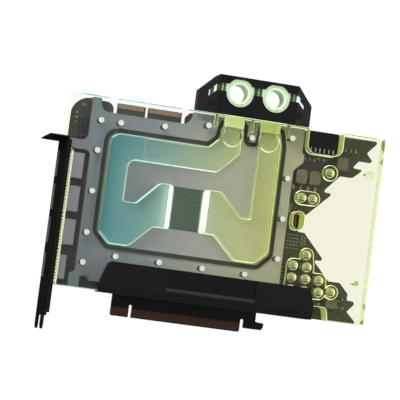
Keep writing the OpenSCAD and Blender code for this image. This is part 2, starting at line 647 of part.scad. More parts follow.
term_in = port_mid - 28.6;          // left side above the ears
term_out = port_mid - 32.4;         // left side of the ears that take the hood's screws
term_ear = 145.3;
term_top = 158.8;
term_sink = 4;                      // depth of the upright screws' heads below the top
ring_r = 5.15;
ring_cord = 0.7;
module port_terminal() {
  color([0.84, 0.93, 0.8, 0.5]) home() difference() {
    intersection() {
      slab(plate_front, cover_front) polygon([[term_out, cover_top], [other(term_out), cover_top],
        [other(term_out), term_ear], [other(term_in), term_ear], [other(term_in), term_top - 3],
        [other(term_in) - 3, term_top], [term_in + 3, term_top], [term_in, term_top - 3],
        [term_in, term_ear], [term_out, term_ear]]);
      // front corners slanted to clear the hood
      translate([0, 0, cover_top]) linear_extrude(height = 30) polygon([[term_out, -plate_front],
        [term_out, 4 - cover_front], [hood[1] + 0.4, -cover_front], [other(hood[1]) - 0.4, -cover_front],
        [other(term_out), 4 - cover_front], [other(term_out), -plate_front]]);
    }
    for (x = ports) {
      rod([x, port_z], port_r, plate_front - 1, cover_front + 1);
      rod([x, port_z], port_r + 0.9, cover_front - 0.8, cover_front + 1);
      rod([x, port_z], port_r + 0.9, plate_front - 1, plate_front + 0.8);
      translate([x, -mid_w, cover_top - 1]) linear_extrude(height = duct_up + 1) oval(duct_half, duct_r);
      translate([x, -mid_w, cover_top]) cylinder(r = duct_r, h = port_z - cover_top);
      translate([x, -mid_w, cover_top]) ring_groove();
    }
    for (x = uprights) translate([x, -mid_w, cover_top - 1]) {
      cylinder(r = 1.65, h = term_top - cover_top + 2);
      translate([0, 0, term_top - cover_top + 1 - term_sink]) cylinder(r = 3.1, h = 5);
    }
    for (side = [-1, 1]) on_facet(side) translate([0, 0, -5.5]) cylinder(r = 1.05, h = 6);
  }
}
module ring_groove() {
  translate([0, 0, -1]) linear_extrude(height = 1 + 2 * ring_cord) difference() {
    oval(duct_half, ring_r + ring_cord + 0.12);
    oval(duct_half, ring_r - ring_cord - 0.12);
  }
}
module port_seal_rings() {
  color([0.05, 0.05, 0.05]) home() for (x = ports)
    translate([x, -mid_w, cover_top]) linear_extrude(height = 2 * ring_cord) difference() {
      oval(duct_half, ring_r + ring_cord);
      oval(duct_half, ring_r - ring_cord);
    }
}
module terminal_screws() {
  color([0.8, 0.8, 0.8]) home() for (x = uprights) translate([x, -mid_w, 0]) {
    translate([0, 0, cover_top - 7]) cylinder(r = 1.3, h = term_top - term_sink - cover_top + 7 + tiny);
    translate([0, 0, term_top - term_sink]) difference() {
      cylinder(r = 2.8, h = 2.6);
      translate([0, 0, 1.4]) cylinder(r = 1.4, h = 3, $fn = 6);
    }
  }
}

// Hood: flat in front, with both sides bent back and the upper corners cut off
hood = [port_mid - 37.4, port_mid - 26.2];  // left edge, and where the flat front starts
slot_l = port_mid - 31.8;           // left end of the light slot
hood_low = cover_top + 0.1;
hood_cut = 149.6;                   // where the cut corners start
hood_top = 160.6;
hood_front = cover_front + 2;
hood_back = plate_front;
function other(x) = 2 * port_mid - x;
module hood_outline(g) {
  polygon([[hood[0] + g, hood_low - 1 + (g > 0 ? -1 : 1)], [other(hood[0]) - g, hood_low - 1 + (g > 0 ? -1 : 1)],
    [other(hood[0]) - g, hood_cut - g * 0.42], [other(hood[1]) - g * 0.42, hood_top - g],
    [hood[1] + g * 0.42, hood_top - g], [hood[0] + g, hood_cut - g * 0.42]]);
}
module hood_plan(g) {
  polygon([[hood[0] + g, -hood_back + g * 4], [hood[0] + g, -(hood_front - 6) + g * 1.1],
    [hood[1] + g * 0.26, -hood_front + g],
    [other(hood[1]) - g * 0.26, -hood_front + g], [other(hood[0]) - g, -(hood_front - 6) + g * 1.1],
    [other(hood[0]) - g, -hood_back + g * 4]]);
}
module hood_solid(g) {
  intersection() {
    slab(hood_back - 8, hood_front + 1) hood_outline(g);
    translate([0, 0, hood_low - 4]) linear_extrude(height = 40) hood_plan(g);
  }
}
// The light slot follows the hood's upper edge
module light_slot() {
  polygon([[slot_l, 145.9], [slot_l, 149.7], [hood[1], 155.3], [other(hood[1]), 155.3],
    [other(slot_l), 149.7], [other(slot_l), 145.9], [other(hood[1]) + 0.8, 150.2], [hood[1] - 0.8, 150.2]]);
}
// Puts its children on a bent side of the hood, with their own Z pointing out of it
facet_turn = atan(6 / (hood[1] - hood[0]));
module on_facet(side) {
  translate([port_mid + side * 29, -(hood_front - (hood[1] - (port_mid - 29)) * tan(facet_turn)), 141.6])
    rotate([90, 0, side * facet_turn]) children();
}
module terminal_hood() {
  color([0.09, 0.09, 0.09]) home() difference() {
    hood_solid(0);
    hood_solid(hood_wall);
    slab(hood_back - 1, hood_front + 1) {
      for (x = ports) translate([x, port_z]) circle(r = window_r);
      light_slot();
    }
    for (side = [-1, 1]) on_facet(side) {
      translate([0, 0, -3]) cylinder(r = 1.15, h = 4);
      translate([0, 0, -0.9]) cylinder(r = 2.4, h = 2);
    }
  }
}
module hood_screws() {
  color([0.05, 0.05, 0.05]) home() for (side = [-1, 1]) on_facet(side) {
    translate([0, 0, -5]) cylinder(r = 1, h = 4.2);
    translate([0, 0, -0.9]) difference() {
      cylinder(r = 2.1, h = 1.2);
      translate([0, 0, 0.5]) cylinder(r = 1.1, h = 2, $fn = 6);
    }
  }
}

// Shroud along the lower edge, with a sunk middle panel left bare
shroud_t = 4;
shroud_up = 33.2;
shroud_low = cover_low - 0.9;       // the shroud's lower flange reaches under the cover
panel_deep = 1.1;
module lower_shroud() {
  color([0.09, 0.09, 0.09]) home() difference() {
    union() {
      slab(cover_front, cover_front + shroud_t) polygon([[-13.8, shroud_low], [past(21), shroud_low],
        [past(20.9), 23], [past(19.8), 26], [past(17.4), shroud_up], [-7.5, shroud_up],
        [-9.8, 31.6], [-13.4, 20.6]]);
      block([-13.2, shroud_low], [past(20.4), cover_low - 0.1], plate_front + 1, cover_front + 1);
    }
    // sunk panel with slanted ends and a sloped lower border
    intersection() {
      translate([0, -cover_front - shroud_t, 0]) rotate([90, 0, 90]) linear_extrude(height = 100)
        polygon([[-1, 19.2], [0, 19.2], [panel_deep, 21.2], [panel_deep, shroud_up + 1], [-1, shroud_up + 1]]);
      slab(cover_front, cover_front + shroud_t + 2)
        polygon([[29.3, 19], [86.6, 19], [87.5, shroud_up + 2], [25.6, shroud_up + 2]]);
    }
    // lower edge bent back
    translate([-20, -cover_front - shroud_t, shroud_low]) rotate([0, 90, 0])
      linear_extrude(height = 160) polygon([[0.1, -0.1], [-5, -0.1], [0.1, 1.7]]);
    // room for the light strip
    block([2, 18], [past(7.2), 30], cover_front - 1, cover_front + 2.2);
  }
}
module light_strip() {
  color([0.85, 0.85, 0.82]) home()
    block([4, 20], [past(5.2), 28], cover_front + 1, cover_front + 2.2);
}
module light_chips() {
  step = (past(-1.9) - 10.5) / 11;
  color([0.95, 0.95, 0.85]) home() for (i = [0:11])
    chip([10.5 + step * i, 24], [3.4, 3.4], cover_front + 0.1, cover_front + 1);
}

// Screws from behind, through the board into the plate's feet
module board_screws() {
  color([0.1, 0.1, 0.1]) home() for (p = feet)
    back_screw(p, -board_t, foot_hole - 0.03, board_t + plate_gap + 1.6, 2.6);
}

board();
edge_contacts();
bridge_contacts();
processor_carrier();
processor_die();
memory_chips();
thermal_pads();
power_stages();
square_coils();
round_capacitors();
small_board_parts();
power_socket();
power_pins();
light_header();
light_header_pins();
side_header();
video_socket_shells();
video_socket_tongues();
video_socket_bodies();
slot_bracket();
bracket_screws();
cooling_plate();
sealing_cord();
clear_cover();
cover_screws();
port_terminal();
port_seal_rings();
terminal_screws();
terminal_hood();
hood_screws();
lower_shroud();
light_strip();
light_chips();
board_screws();
end_standoff();
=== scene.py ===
"""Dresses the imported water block: finishes, polished clear parts, stage, lights and camera."""

import json
import math

import bmesh
import bpy
from bpy.props import FloatProperty, FloatVectorProperty, PointerProperty
from mathutils import Matrix, Vector
from mathutils.bvhtree import BVHTree


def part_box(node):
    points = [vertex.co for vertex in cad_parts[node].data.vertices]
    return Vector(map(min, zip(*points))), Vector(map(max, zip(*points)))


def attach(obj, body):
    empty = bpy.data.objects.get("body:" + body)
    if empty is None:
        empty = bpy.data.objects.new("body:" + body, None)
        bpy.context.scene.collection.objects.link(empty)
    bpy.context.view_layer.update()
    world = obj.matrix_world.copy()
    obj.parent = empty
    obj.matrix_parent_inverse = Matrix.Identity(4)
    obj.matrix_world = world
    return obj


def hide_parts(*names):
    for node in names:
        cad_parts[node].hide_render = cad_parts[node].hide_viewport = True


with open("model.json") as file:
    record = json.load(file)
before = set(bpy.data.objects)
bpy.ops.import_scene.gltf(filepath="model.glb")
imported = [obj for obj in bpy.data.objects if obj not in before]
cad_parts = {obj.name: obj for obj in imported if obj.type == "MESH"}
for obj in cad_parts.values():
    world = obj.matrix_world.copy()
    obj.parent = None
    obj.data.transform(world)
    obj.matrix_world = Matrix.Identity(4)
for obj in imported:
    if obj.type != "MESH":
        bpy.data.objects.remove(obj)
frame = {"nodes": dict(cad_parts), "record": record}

bl_info = {
    "name": "Water Block Dresser",
    "version": (1, 0, 0),
    "blender": (4, 5, 0),
    "location": "3D View > Sidebar > Water Block",
    "description": "Finishes and fine pieces for a clear water block on its circuit board",
    "category": "Object",
}

# Where no other unit is named, places are in millimetres: x along the board from the tongue's left
# end, w forward from its front and z up from the tongue's lower edge. The frame's origin is at KEY_X.
KEY_X = 12.6


def place(x, w, z):
    """A place in those millimetres, as a point of the frame."""
    return Vector(((x - KEY_X) / 1000, -w / 1000, z / 1000))


def measured(point):
    """A point of the frame, as a place in those millimetres."""
    return point[0] * 1000 + KEY_X, -point[1] * 1000, point[2] * 1000


def mount_place(name):
    """Where the record puts a mount."""
    return measured(next(m["pos_m"] for m in frame["record"]["mounts"] if m["name"] == name))


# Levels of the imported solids
PLATE_FRONT = measured(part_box("cooling_plate")[0])[1]
COVER_FRONT = measured(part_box("clear_cover")[0])[1]
COVER_TOP = measured(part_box("clear_cover")[1])[2]

# Gaps that keep two faces apart where clear plastic lies on another piece, the wider one under the
# cover, and the lift of the films on the plate
FACE_GAP = 0.03
COVER_GAP = 0.09
FILM_LIFT = 0.05

# Middle of the processor in x and z, half the fin field's width and height, and how far the slanted
# channel ends reach from the fins and from the middle
PROCESSOR = (37.9, 72.6)
HALF_FINS = (9.1, 13.7)
RAMP_REACH = (9, 18)

# Channel outlines as corners: x, z and corner radius
INLET = ((-9.6, 44.6, 4), (3.2, 44.6, 3.5), (17.2, 58.6, 3.5), (28.8, 58.9, 2), (28.8, 86.6, 3.5),
         (18.6, 86.6, 5), (4.6, 71.8, 4), (-3.9, 71.8, 0.8), (-3.9, 98.9, 5), (54.4, 98.9, 3),
         (67.4, 112.4, 3), (66.8, 129.4, 4.5), (53.4, 129.4, 4), (53.2, 120.2, 2), (47, 113.9, 3),
         (-16.9, 113.9, 7), (-16.9, 51.8, 3))
OUTLET = ((47, 58.9, 2), (57.6, 58.9, 4), (72.2, 44.6, 4), (86, 44.6, 4), (93.6, 52.2, 4),
          (93.2, 122, 4), (91.4, 129.4, 3.5), (80.2, 129.4, 4), (80, 71.8, 1.5), (72.6, 71.8, 2),
          (58.6, 86.6, 3.5), (47, 86.6, 3.5))
# The step in the inlet's roof, which has no bright rim: lowest and highest x, then z
ROOF_STEP = ((0, 5.8), (99.2, 113.6))

# The ports' x and z, and the flat ducts below them: half the width, half the depth and the foot's z
PORTS = tuple(mount_place(name)[0] for name in ("port_left", "port_right"))
PORT_HEIGHT = mount_place("port_left")[2]
HALF_DUCT = 6.9
DUCT_HALF_DEPTH = 3.9
DUCT_FOOT = 128.5
# The wells under the ports: the z at which their roofs are divided, how near that line no rim
# shows, and the z above which the roofs are too narrow beside the ducts for a rim
WELL_MIDDLE = 122.5
WELL_GAP = 0.3
WELL_TIPS = 126

# The terminal's front: half the width of the part that shows round each port, how far down the ring
# reaches, and the x of the pale upright lines in the shaded webs with half their width
RING_EDGE = 9.3
RING_REACH = 12
WEB_LINES = (49.5, 73.3, 97)
HALF_WEB_LINE = 0.4
# How far from the middle between the ports the terminal's dark ends begin and stop
DARK_ENDS = (22, 30)

# Radius of the painted shade at the countersunk mouths of the cover screws' holes
HOLE_MOUTH = 1.7
# Holes at the clear cover's free end, in x and z, and how far their walls reach
END_HOLES = tuple(mount_place("end_hole")[::2]), (153.3, 111.1)
END_HOLE_REACH = 3
# An x just right of the cover's left end, and the depth behind which a comb of dashes shows there
COVER_END = -39.8
COMB_FRONT = 16.2

# Windows in which a finish changes, as middle and half size in x and z: the comb on the cover's left
# end, the lower shroud's sunk panel with its painted shade, that panel's lower border with its painted
# highlight and the board's black tongue
COMB = ((-43.4, 50), (10, 50))
PANEL_SHADE = ((58, 27), (28.5, 6.1))
PANEL_HIGHLIGHT = ((58, 20.2), (28.8, 1))
TONGUE = ((62.6, -40), (200, 54.5))

# Round capacitors: radius and height
CAN_RADIUS = 3.3
CAN_HEIGHT = 9.0

# Largest forward part of a wall's normal
WALL_LEAN = 0.35
# Area, in square metres, below which a face of the terminal gets the finish of its edges
SMALL_FACE = 0.000004

# Reaches in metres: of points that merge, points on a level, points on a cut, and places beside a
# screw or the cord
MERGE_REACH = 0.000002
LEVEL_REACH = 0.000003
CUT_REACH = 0.000001
SCREW_REACH = 0.0008
CORD_REACH = 0.0005

# X in metres between which the plate's painted coloured light, the plastic's tint and its glow shift from
# left to right
PLATE_SHIFT = (-0.03, 0.075)
TINT_SHIFT = (-0.02, 0.11)
GLOW_SHIFT = (-0.02, 0.09)

# Kinds of sockets in the shader groups, and the places of a Mix node's colour sockets
NUMBER, VECTOR, COLOUR = "NodeSocketFloat", "NodeSocketVector", "NodeSocketColor"
MIX_FACTOR, MIX_FIRST, MIX_SECOND, MIX_RESULT = 0, 6, 7, 2

# The photograph's view, fitted to the connector, the bracket and the cover's corners, in metres,
# degrees and millimetres of focal length
CAMERA_PLACE = (-0.24685, -1.26132, -0.01346)
CAMERA_TURN = (94.2033, -7.3222, -13.1791)
FOCAL_LENGTH = 181.393
# Where both lamps aim: the middle of the part
AIM = (0.045, 0, 0.075)


def shade(red, green, blue):
    """A colour given as screen values 0 to 255, turned into the linear values that shaders take."""
    def straight(value):
        value /= 255
        return value / 12.92 if value <= 0.04045 else ((value + 0.055) / 1.055) ** 2.4
    return straight(red), straight(green), straight(blue)


# Settings

def colour_setting(name, description, default):
    return FloatVectorProperty(name=name, description=description, default=default,
                               subtype="COLOR", min=0, max=1)


class StageSettings(bpy.types.PropertyGroup):
    floor_drop: FloatProperty(
        name="Floor Drop", description="Distance from the part's origin down to the floor",
        default=0.62, unit="LENGTH")
    key_power: FloatProperty(
        name="Key Light", description="Power of the large soft light at the upper left",
        default=15.0, min=0)
    fill_power: FloatProperty(
        name="Fill Light", description="Power of the soft light at the right", default=7.0, min=0)
    room: FloatProperty(
        name="Room Light", description="Brightness of the room in front of the part",
        default=0.3, min=0, max=2, subtype="FACTOR")


class ClearSettings(bpy.types.PropertyGroup):
    rim_width: FloatProperty(
        name="Rim Width", description="Width of the polished bevel on the clear parts' rims",
        default=0.00021, unit="LENGTH")
    left_tint: colour_setting("Left Tint", "Cover's tint at its left end", (0.975, 0.985, 0.985))
    right_tint: colour_setting("Right Tint", "Cover's tint at its right end", (0.925, 0.915, 0.755))
    # The walls' colours are painted light that the plastic carries, pale at the left and green at the right
    left_edge: colour_setting("Left Edge", "Tint of the cover's left walls", shade(226, 236, 206))
    right_edge: colour_setting("Right Edge", "Tint of the cover's right walls", shade(206, 216, 150))
    left_shaded: colour_setting(
        "Left Shaded", "Colour of the cover's left walls that face right", shade(112, 142, 116))
    # The rims' colours are painted highlights, which the bevels give off as light
    left_rim: colour_setting("Left Rim", "Colour of the cover's left rims", shade(172, 208, 208))
    right_rim: colour_setting("Right Rim", "Colour of the cover's right rims", shade(232, 240, 190))
    # The duct walls' colours are painted light, pale at the left and green at the right
    duct_left: colour_setting("Duct Left", "Tint of the duct walls towards the left", shade(244, 252, 214))
    duct_right: colour_setting(
        "Duct Right", "Tint of the duct walls towards the right", shade(158, 182, 84))
    port_tint: colour_setting("Port Tint", "Tint of the port terminal", (0.9, 0.965, 0.82))
    left_glow: colour_setting("Left Glow", "Light in the cover's left edges", shade(196, 226, 226))
    right_glow: colour_setting("Right Glow", "Light in the cover's right edges", shade(190, 216, 104))
    glow: FloatProperty(
        name="Edge Glow", description="Strength of the light at the clear parts' edges",
        default=0.16, min=0, max=3)


class MetalSettings(bpy.types.PropertyGroup):
    # The plate's and the channel floors' colours at each end are painted coloured light, cool at the left
    # and warm green at the right
    plate_left: colour_setting("Plate Left", "Colour of the plate at its left end", shade(124, 132, 138))
    plate_right: colour_setting("Plate Right", "Colour of the plate at its right end", shade(188, 187, 188))
    channel_left: colour_setting(
        "Channel Left", "Colour of the channel floor at its left end", shade(82, 140, 146))
    channel_right: colour_setting(
        "Channel Right", "Colour of the channel floor at its right end", shade(186, 188, 160))


class BoardSettings(bpy.types.PropertyGroup):
    mask: colour_setting("Board", "Colour of the board's coating", shade(58, 56, 49))
    track: colour_setting("Tracks", "Colour of the coating over the copper tracks", shade(66, 66, 56))
    edge_gold: colour_setting(
        "Edge Contacts", "Colour of the contacts of the edge connector", shade(98, 70, 58))
    bridge_gold: colour_setting(
        "Bridge Contacts", "Colour of the contacts on the bridge tongues", shade(200, 165, 140))


# Shared effects

def fill(tree, node, inputs):
    """Gives a node's inputs values or the outputs of other nodes."""
    for label, value in inputs.items():
        if isinstance(value, bpy.types.NodeSocket):
            tree.links.new(value, node.inputs[label])
        else:
            node.inputs[label].default_value = value
    return node


def add_node(tree, kind, inputs=None, **options):
    """A new shader node with its options set and its inputs filled."""
    node = tree.nodes.new(kind)
    for name, value in options.items():
        setattr(node, name, value)
    return fill(tree, node, inputs or {})


def combined(tree, kind, operation, *values):
    """The result of a Math or VectorMath node."""
    return add_node(tree, "ShaderNode" + kind, dict(enumerate(values)), operation=operation).outputs[0]


def node_group(name, inputs, result_kind):
    """A new shader group with named inputs and one result."""
    group = bpy.data.node_groups.new(name, "ShaderNodeTree")
    for label, kind in inputs.items():
        group.interface.new_socket(name=label, in_out="INPUT", socket_type=kind)
    group.interface.new_socket(name="Result", in_out="OUTPUT", socket_type=result_kind)
    return group, group.nodes.new("NodeGroupInput").outputs, group.nodes.new("NodeGroupOutput")


def surface_grain_group():
    """Fine grain between two values, for roughness, bumps and slight changes of colour."""
    group, entry, leave = node_group(
        "Surface Grain", {"Vector": VECTOR, "Scale": NUMBER, "Low": NUMBER, "High": NUMBER}, NUMBER)
    noise = add_node(group, "ShaderNodeTexNoise", {
        "Vector": entry["Vector"], "Scale": entry["Scale"], "Detail": 4})
    spread = add_node(group, "ShaderNodeMapRange", {
        "Value": noise.outputs["Fac"], "From Min": 0.3, "From Max": 0.7,
        "To Min": entry["Low"], "To Max": entry["High"]})
    fill(group, leave, {"Result": spread.outputs["Result"]})


def window_group():
    """One inside an upright window of the X-Z plane and nothing outside it."""
    group, entry, leave = node_group(
        "Window", {"Vector": VECTOR, "Centre": VECTOR, "Half Size": VECTOR}, NUMBER)
    offset = combined(group, "VectorMath", "SUBTRACT", entry["Vector"], entry["Centre"])
    away = combined(group, "VectorMath", "ABSOLUTE", offset)
    room = combined(group, "VectorMath", "SUBTRACT", entry["Half Size"], away)
    split = add_node(group, "ShaderNodeSeparateXYZ", {"Vector": room})
    least = combined(group, "Math", "MINIMUM", split.outputs["X"], split.outputs["Z"])
    fill(group, leave, {"Result": combined(group, "Math", "GREATER_THAN", least, 0)})


def left_to_right_group():
    """A colour that shifts from the part's left end to its right end."""
    group, entry, leave = node_group("Left To Right", {
        "Vector": VECTOR, "Start": NUMBER, "End": NUMBER, "Left": COLOUR, "Right": COLOUR}, COLOUR)
    split = add_node(group, "ShaderNodeSeparateXYZ", {"Vector": entry["Vector"]})
    spread = add_node(group, "ShaderNodeMapRange", {
        "Value": split.outputs["X"], "From Min": entry["Start"], "From Max": entry["End"]},
        interpolation_type="SMOOTHSTEP")
    blend = add_node(group, "ShaderNodeMix", {
        MIX_FACTOR: spread.outputs["Result"], MIX_FIRST: entry["Left"], MIX_SECOND: entry["Right"]},
        data_type="RGBA")
    fill(group, leave, {"Result": blend.outputs[MIX_RESULT]})


def brushed_group():
    """Long fine strokes along the board, as on a milled or brushed face."""
    group, entry, leave = node_group("Brushed Strokes", {"Vector": VECTOR, "Stretch": VECTOR}, NUMBER)
    stretched = combined(group, "VectorMath", "MULTIPLY", entry["Vector"], entry["Stretch"])
    noise = add_node(group, "ShaderNodeTexNoise", {"Vector": stretched, "Scale": 1, "Detail": 3})
    fill(group, leave, {"Result": noise.outputs["Fac"]})


class Finish:
    """A material under construction, with short ways to add the nodes that most finishes use."""

    def __init__(self, name, base, roughness=0.5, metallic=0.0):
        self.material = bpy.data.materials.new(name)
        self.material.use_nodes = True
        self.tree = self.material.node_tree
        self.shader = next(n for n in self.tree.nodes if n.type == "BSDF_PRINCIPLED")
        self.output = next(n for n in self.tree.nodes if n.type == "OUTPUT_MATERIAL")
        self.coords = self.node("ShaderNodeTexCoord").outputs["Object"]
        self.surface({"Base Color": (*base, 1), "Roughness": roughness, "Metallic": metallic})

    def node(self, kind, inputs=None, **options):
        return add_node(self.tree, kind, inputs, **options)

    def surface(self, inputs):
        """Gives the shader's own inputs values or the outputs of other nodes."""
        fill(self.tree, self.shader, inputs)
        return self

    def lit(self, colour, strength):
        """A base colour that also gives off light."""
        return self.surface({"Base Color": colour, "Emission Color": colour,
                             "Emission Strength": strength})

    def group(self, name, inputs):
        """The result of a shared effect that reads object coordinates."""
        return self.node("ShaderNodeGroup", {"Vector": self.coords, **inputs},
                         node_tree=bpy.data.node_groups[name]).outputs["Result"]

    def left_to_right(self, left, right, ends):
        """A colour that shifts between two places along X; a single colour stays a plain value."""
        if tuple(left) == tuple(right):
            return (*left, 1)
        return self.group("Left To Right", {
            "Left": (*left, 1), "Right": (*right, 1), "Start": ends[0], "End": ends[1]})

    def window(self, middle, half_size):
        """A mask of an upright window, given by its middle and half its size in millimetres."""
        return self.group("Window", {"Centre": place(middle[0], 0, middle[1]),
                                     "Half Size": (half_size[0] / 1000, 1, half_size[1] / 1000)})

    def spread(self, value, low, high, first=0.0, last=1.0):
        """A value that runs from low to high, turned into one that runs from first to last."""
        return self.node("ShaderNodeMapRange", {
            "Value": value, "From Min": low, "From Max": high,
            "To Min": first, "To Max": last}).outputs["Result"]

    def grain(self, scale, low=0.0, high=1.0):
        return self.group("Surface Grain", {"Scale": scale, "Low": low, "High": high})

    def grainy_roughness(self, scale, low, high):
        return self.surface({"Roughness": self.grain(scale, low, high)})

    def bumps(self, height, strength, distance):
        bump = self.node("ShaderNodeBump", {"Height": height, "Strength": strength, "Distance": distance})
        return self.surface({"Normal": bump.outputs["Normal"]})

    def mixed(self, factor, first, second, **options):
        """A colour between two colours; each is a value or an output."""
        first, second = (value if isinstance(value, bpy.types.NodeSocket) else (*value, 1)
                         for value in (first, second))
        return self.node("ShaderNodeMix", {MIX_FACTOR: factor, MIX_FIRST: first, MIX_SECOND: second},
                         data_type="RGBA", **options).outputs[MIX_RESULT]

    def varied_colour(self, first, second, scale):
        """Base colour that wanders between two near colours."""
        return self.surface({"Base Color": self.mixed(self.grain(scale), first, second)})


def lighter(colour, factor):
    return tuple(min(1, value * factor) for value in colour)


def dress(node_names, finish):
    """Gives the CAD nodes a finish through their objects' material slots."""
    for name in node_names:
        for slot in frame["nodes"][name].material_slots:
            slot.material = finish.material


# Meshes

def make_object(name, bm, finishes):
    """Makes an object from a bmesh, with its finishes in order."""
    mesh = bpy.data.meshes.new(name)
    bm.to_mesh(mesh)
    bm.free()
    for finish in finishes:
        mesh.materials.append(finish.material)
    made = bpy.data.objects.new(name, mesh)
    bpy.context.scene.collection.objects.link(made)
    return made


def new_piece(name, bm, finishes):
    """Makes a finished piece at the origin, riding on the part."""
    piece = make_object(name, bm, finishes)
    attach(piece, "root")
    return piece


def smooth_by_angle(bm, degrees=35):
    """Shades round walls smooth and keeps the sharper edges crisp."""
    for face in bm.faces:
        face.smooth = True
    for edge in bm.edges:
        edge.smooth = len(edge.link_faces) == 2 and edge.calc_face_angle() < math.radians(degrees)


def merged_copy(node_name):
    """A bmesh of a CAD node with its loose triangles merged into a closed shell."""
    bm = bmesh.new()
    bm.from_mesh(frame["nodes"][node_name].data)
    bmesh.ops.remove_doubles(bm, verts=bm.verts, dist=MERGE_REACH)
    bmesh.ops.dissolve_limit(bm, angle_limit=math.radians(0.5), verts=bm.verts, edges=bm.edges)
    return bm


def move_level(bm, axis, level, shift):
    """Moves all vertices that lie at one level along an axis by a small shift."""
    chosen = [v for v in bm.verts if abs(v.co[axis] - level) < LEVEL_REACH]
    offset = Vector((0, 0, 0))
    offset[axis] = shift
    bmesh.ops.translate(bm, verts=chosen, vec=offset)


def cut_across(bm, axis, level):
    """Divides all faces that cross one level along an axis."""
    spot, normal = Vector((0, 0, 0)), Vector((0, 0, 0))
    spot[axis], normal[axis] = level, 1
    bmesh.ops.bisect_plane(bm, geom=bm.verts[:] + bm.edges[:] + bm.faces[:], dist=CUT_REACH,
                           plane_co=spot, plane_no=normal)


def polish_rims(bm, width, material_index, wanted):
    """Bevels the sharp rims between a flat face and an upright wall, and gives the bevels the
    painted-highlight finish at material_index.
    """
    def is_rim(edge):
        if len(edge.link_faces) != 2 or edge.calc_face_angle() < math.radians(60):
            return False
        leans = sorted(abs(face.normal.y) for face in edge.link_faces)
        return leans[0] < WALL_LEAN and leans[1] > 0.9

    edges = [e for e in bm.edges if is_rim(e) and wanted((e.verts[0].co + e.verts[1].co) / 2)]
    bmesh.ops.bevel(bm, geom=edges, offset=width, offset_type="OFFSET", segments=1, profile=0.5,
                    affect="EDGES", material=material_index, clamp_overlap=False)


def island_boxes(node_name):
    """The low and high corners of each loose piece of a CAD node."""
    bm = merged_copy(node_name)
    boxes, reached = [], set()
    for start in bm.verts:
        if start in reached:
            continue
        reached.add(start)
        island, waiting = [], [start]
        while waiting:
            vert = waiting.pop()
            island.append(vert.co.copy())
            fresh = [e.other_vert(vert) for e in vert.link_edges if e.other_vert(vert) not in reached]
            reached.update(fresh)
            waiting.extend(fresh)
        boxes.append([Vector([pick(spot[axis] for spot in island) for axis in range(3)])
                      for pick in (min, max)])
    bm.free()
    return boxes


def beside(point, boxes):
    """Whether a point lies in or just outside one of the screws' boxes."""
    return any(all(low[axis] - SCREW_REACH < point[axis] < high[axis] + SCREW_REACH
                   for axis in range(3)) for low, high in boxes)


def flat_outline(bm, corners, w):
    """One flat face with rounded corners at depth w, from corners given as x, z and radius."""
    verts = [bm.verts.new(place(x, w, z)) for x, z, radius in corners]
    bm.faces.new(verts)
    for vert, (x, z, radius) in zip(verts, corners):
        ends = [e.other_vert(vert).co - vert.co for e in vert.link_edges]
        half = ends[0].angle(ends[1]) / 2
        bmesh.ops.bevel(bm, geom=[vert], offset=radius / 1000 / math.tan(half), offset_type="OFFSET",
                        segments=5, profile=0.5, affect="VERTICES", material=-1, clamp_overlap=False)
    return bm.faces[:]


# Finishes

def board_finish(settings):
    """Black coated laminate with faint copper tracks and small plated holes."""
    finish = Finish("board coating", settings.mask, 0.42)
    turned = finish.node("ShaderNodeMapping", {
        "Vector": finish.coords, "Rotation": (0, math.radians(45), 0), "Scale": (620, 620, 620)})
    tracks = finish.node("ShaderNodeTexVoronoi", {
        "Vector": turned.outputs["Vector"], "Scale": 1, "Randomness": 0.6},
        feature="DISTANCE_TO_EDGE", distance="CHEBYCHEV")
    lines = finish.spread(tracks.outputs["Distance"], 0.04, 0.14, 1, 0)
    holes = finish.node("ShaderNodeTexVoronoi", {"Vector": finish.coords, "Scale": 330})
    dots = finish.spread(holes.outputs["Distance"], 0.1, 0.16, 1, 0)
    coated = finish.mixed(lines, settings.mask, settings.track)
    dotted = finish.mixed(dots, coated, shade(120, 122, 98))
    colour = finish.mixed(finish.window(*TONGUE), dotted, lighter(settings.mask, 0.1))
    finish.surface({"Base Color": colour, "Specular IOR Level": 0.25})
    return finish.bumps(lines, 0.4, 0.00008)


def contact_finish(name, colour, roughness):
    """Gold plate that has dulled unevenly from contact to contact."""
    finish = Finish(name, colour, roughness, 0.75)
    finish.varied_colour(lighter(colour, 0.8), lighter(colour, 1.25), 700)
    return finish.grainy_roughness(1500, roughness - 0.08, roughness + 0.1)


def moulded_finish(name, colour, roughness=0.45, gloss=0.5):
    """Moulded plastic or painted metal with a fine even grain."""
    finish = Finish(name, colour, roughness).surface({"Specular IOR Level": gloss})
    finish.varied_colour(lighter(colour, 0.88), lighter(colour, 1.14), 300)
    finish.grainy_roughness(600, roughness - 0.07, roughness + 0.09)
    return finish.bumps(finish.grain(1800), 0.25, 0.00006)


def metal_finish(name, colour, roughness=0.25, stretch=(60, 900, 900), metallic=1.0):
    """Plated or polished metal with fine strokes."""
    finish = Finish(name, colour, roughness, metallic)
    strokes = finish.group("Brushed Strokes", {"Stretch": stretch})
    finish.surface({"Base Color": finish.mixed(strokes, lighter(colour, 0.85), lighter(colour, 1.1))})
    finish.grainy_roughness(700, roughness - 0.06, roughness + 0.08)
    return finish.bumps(strokes, 0.15, 0.00003)


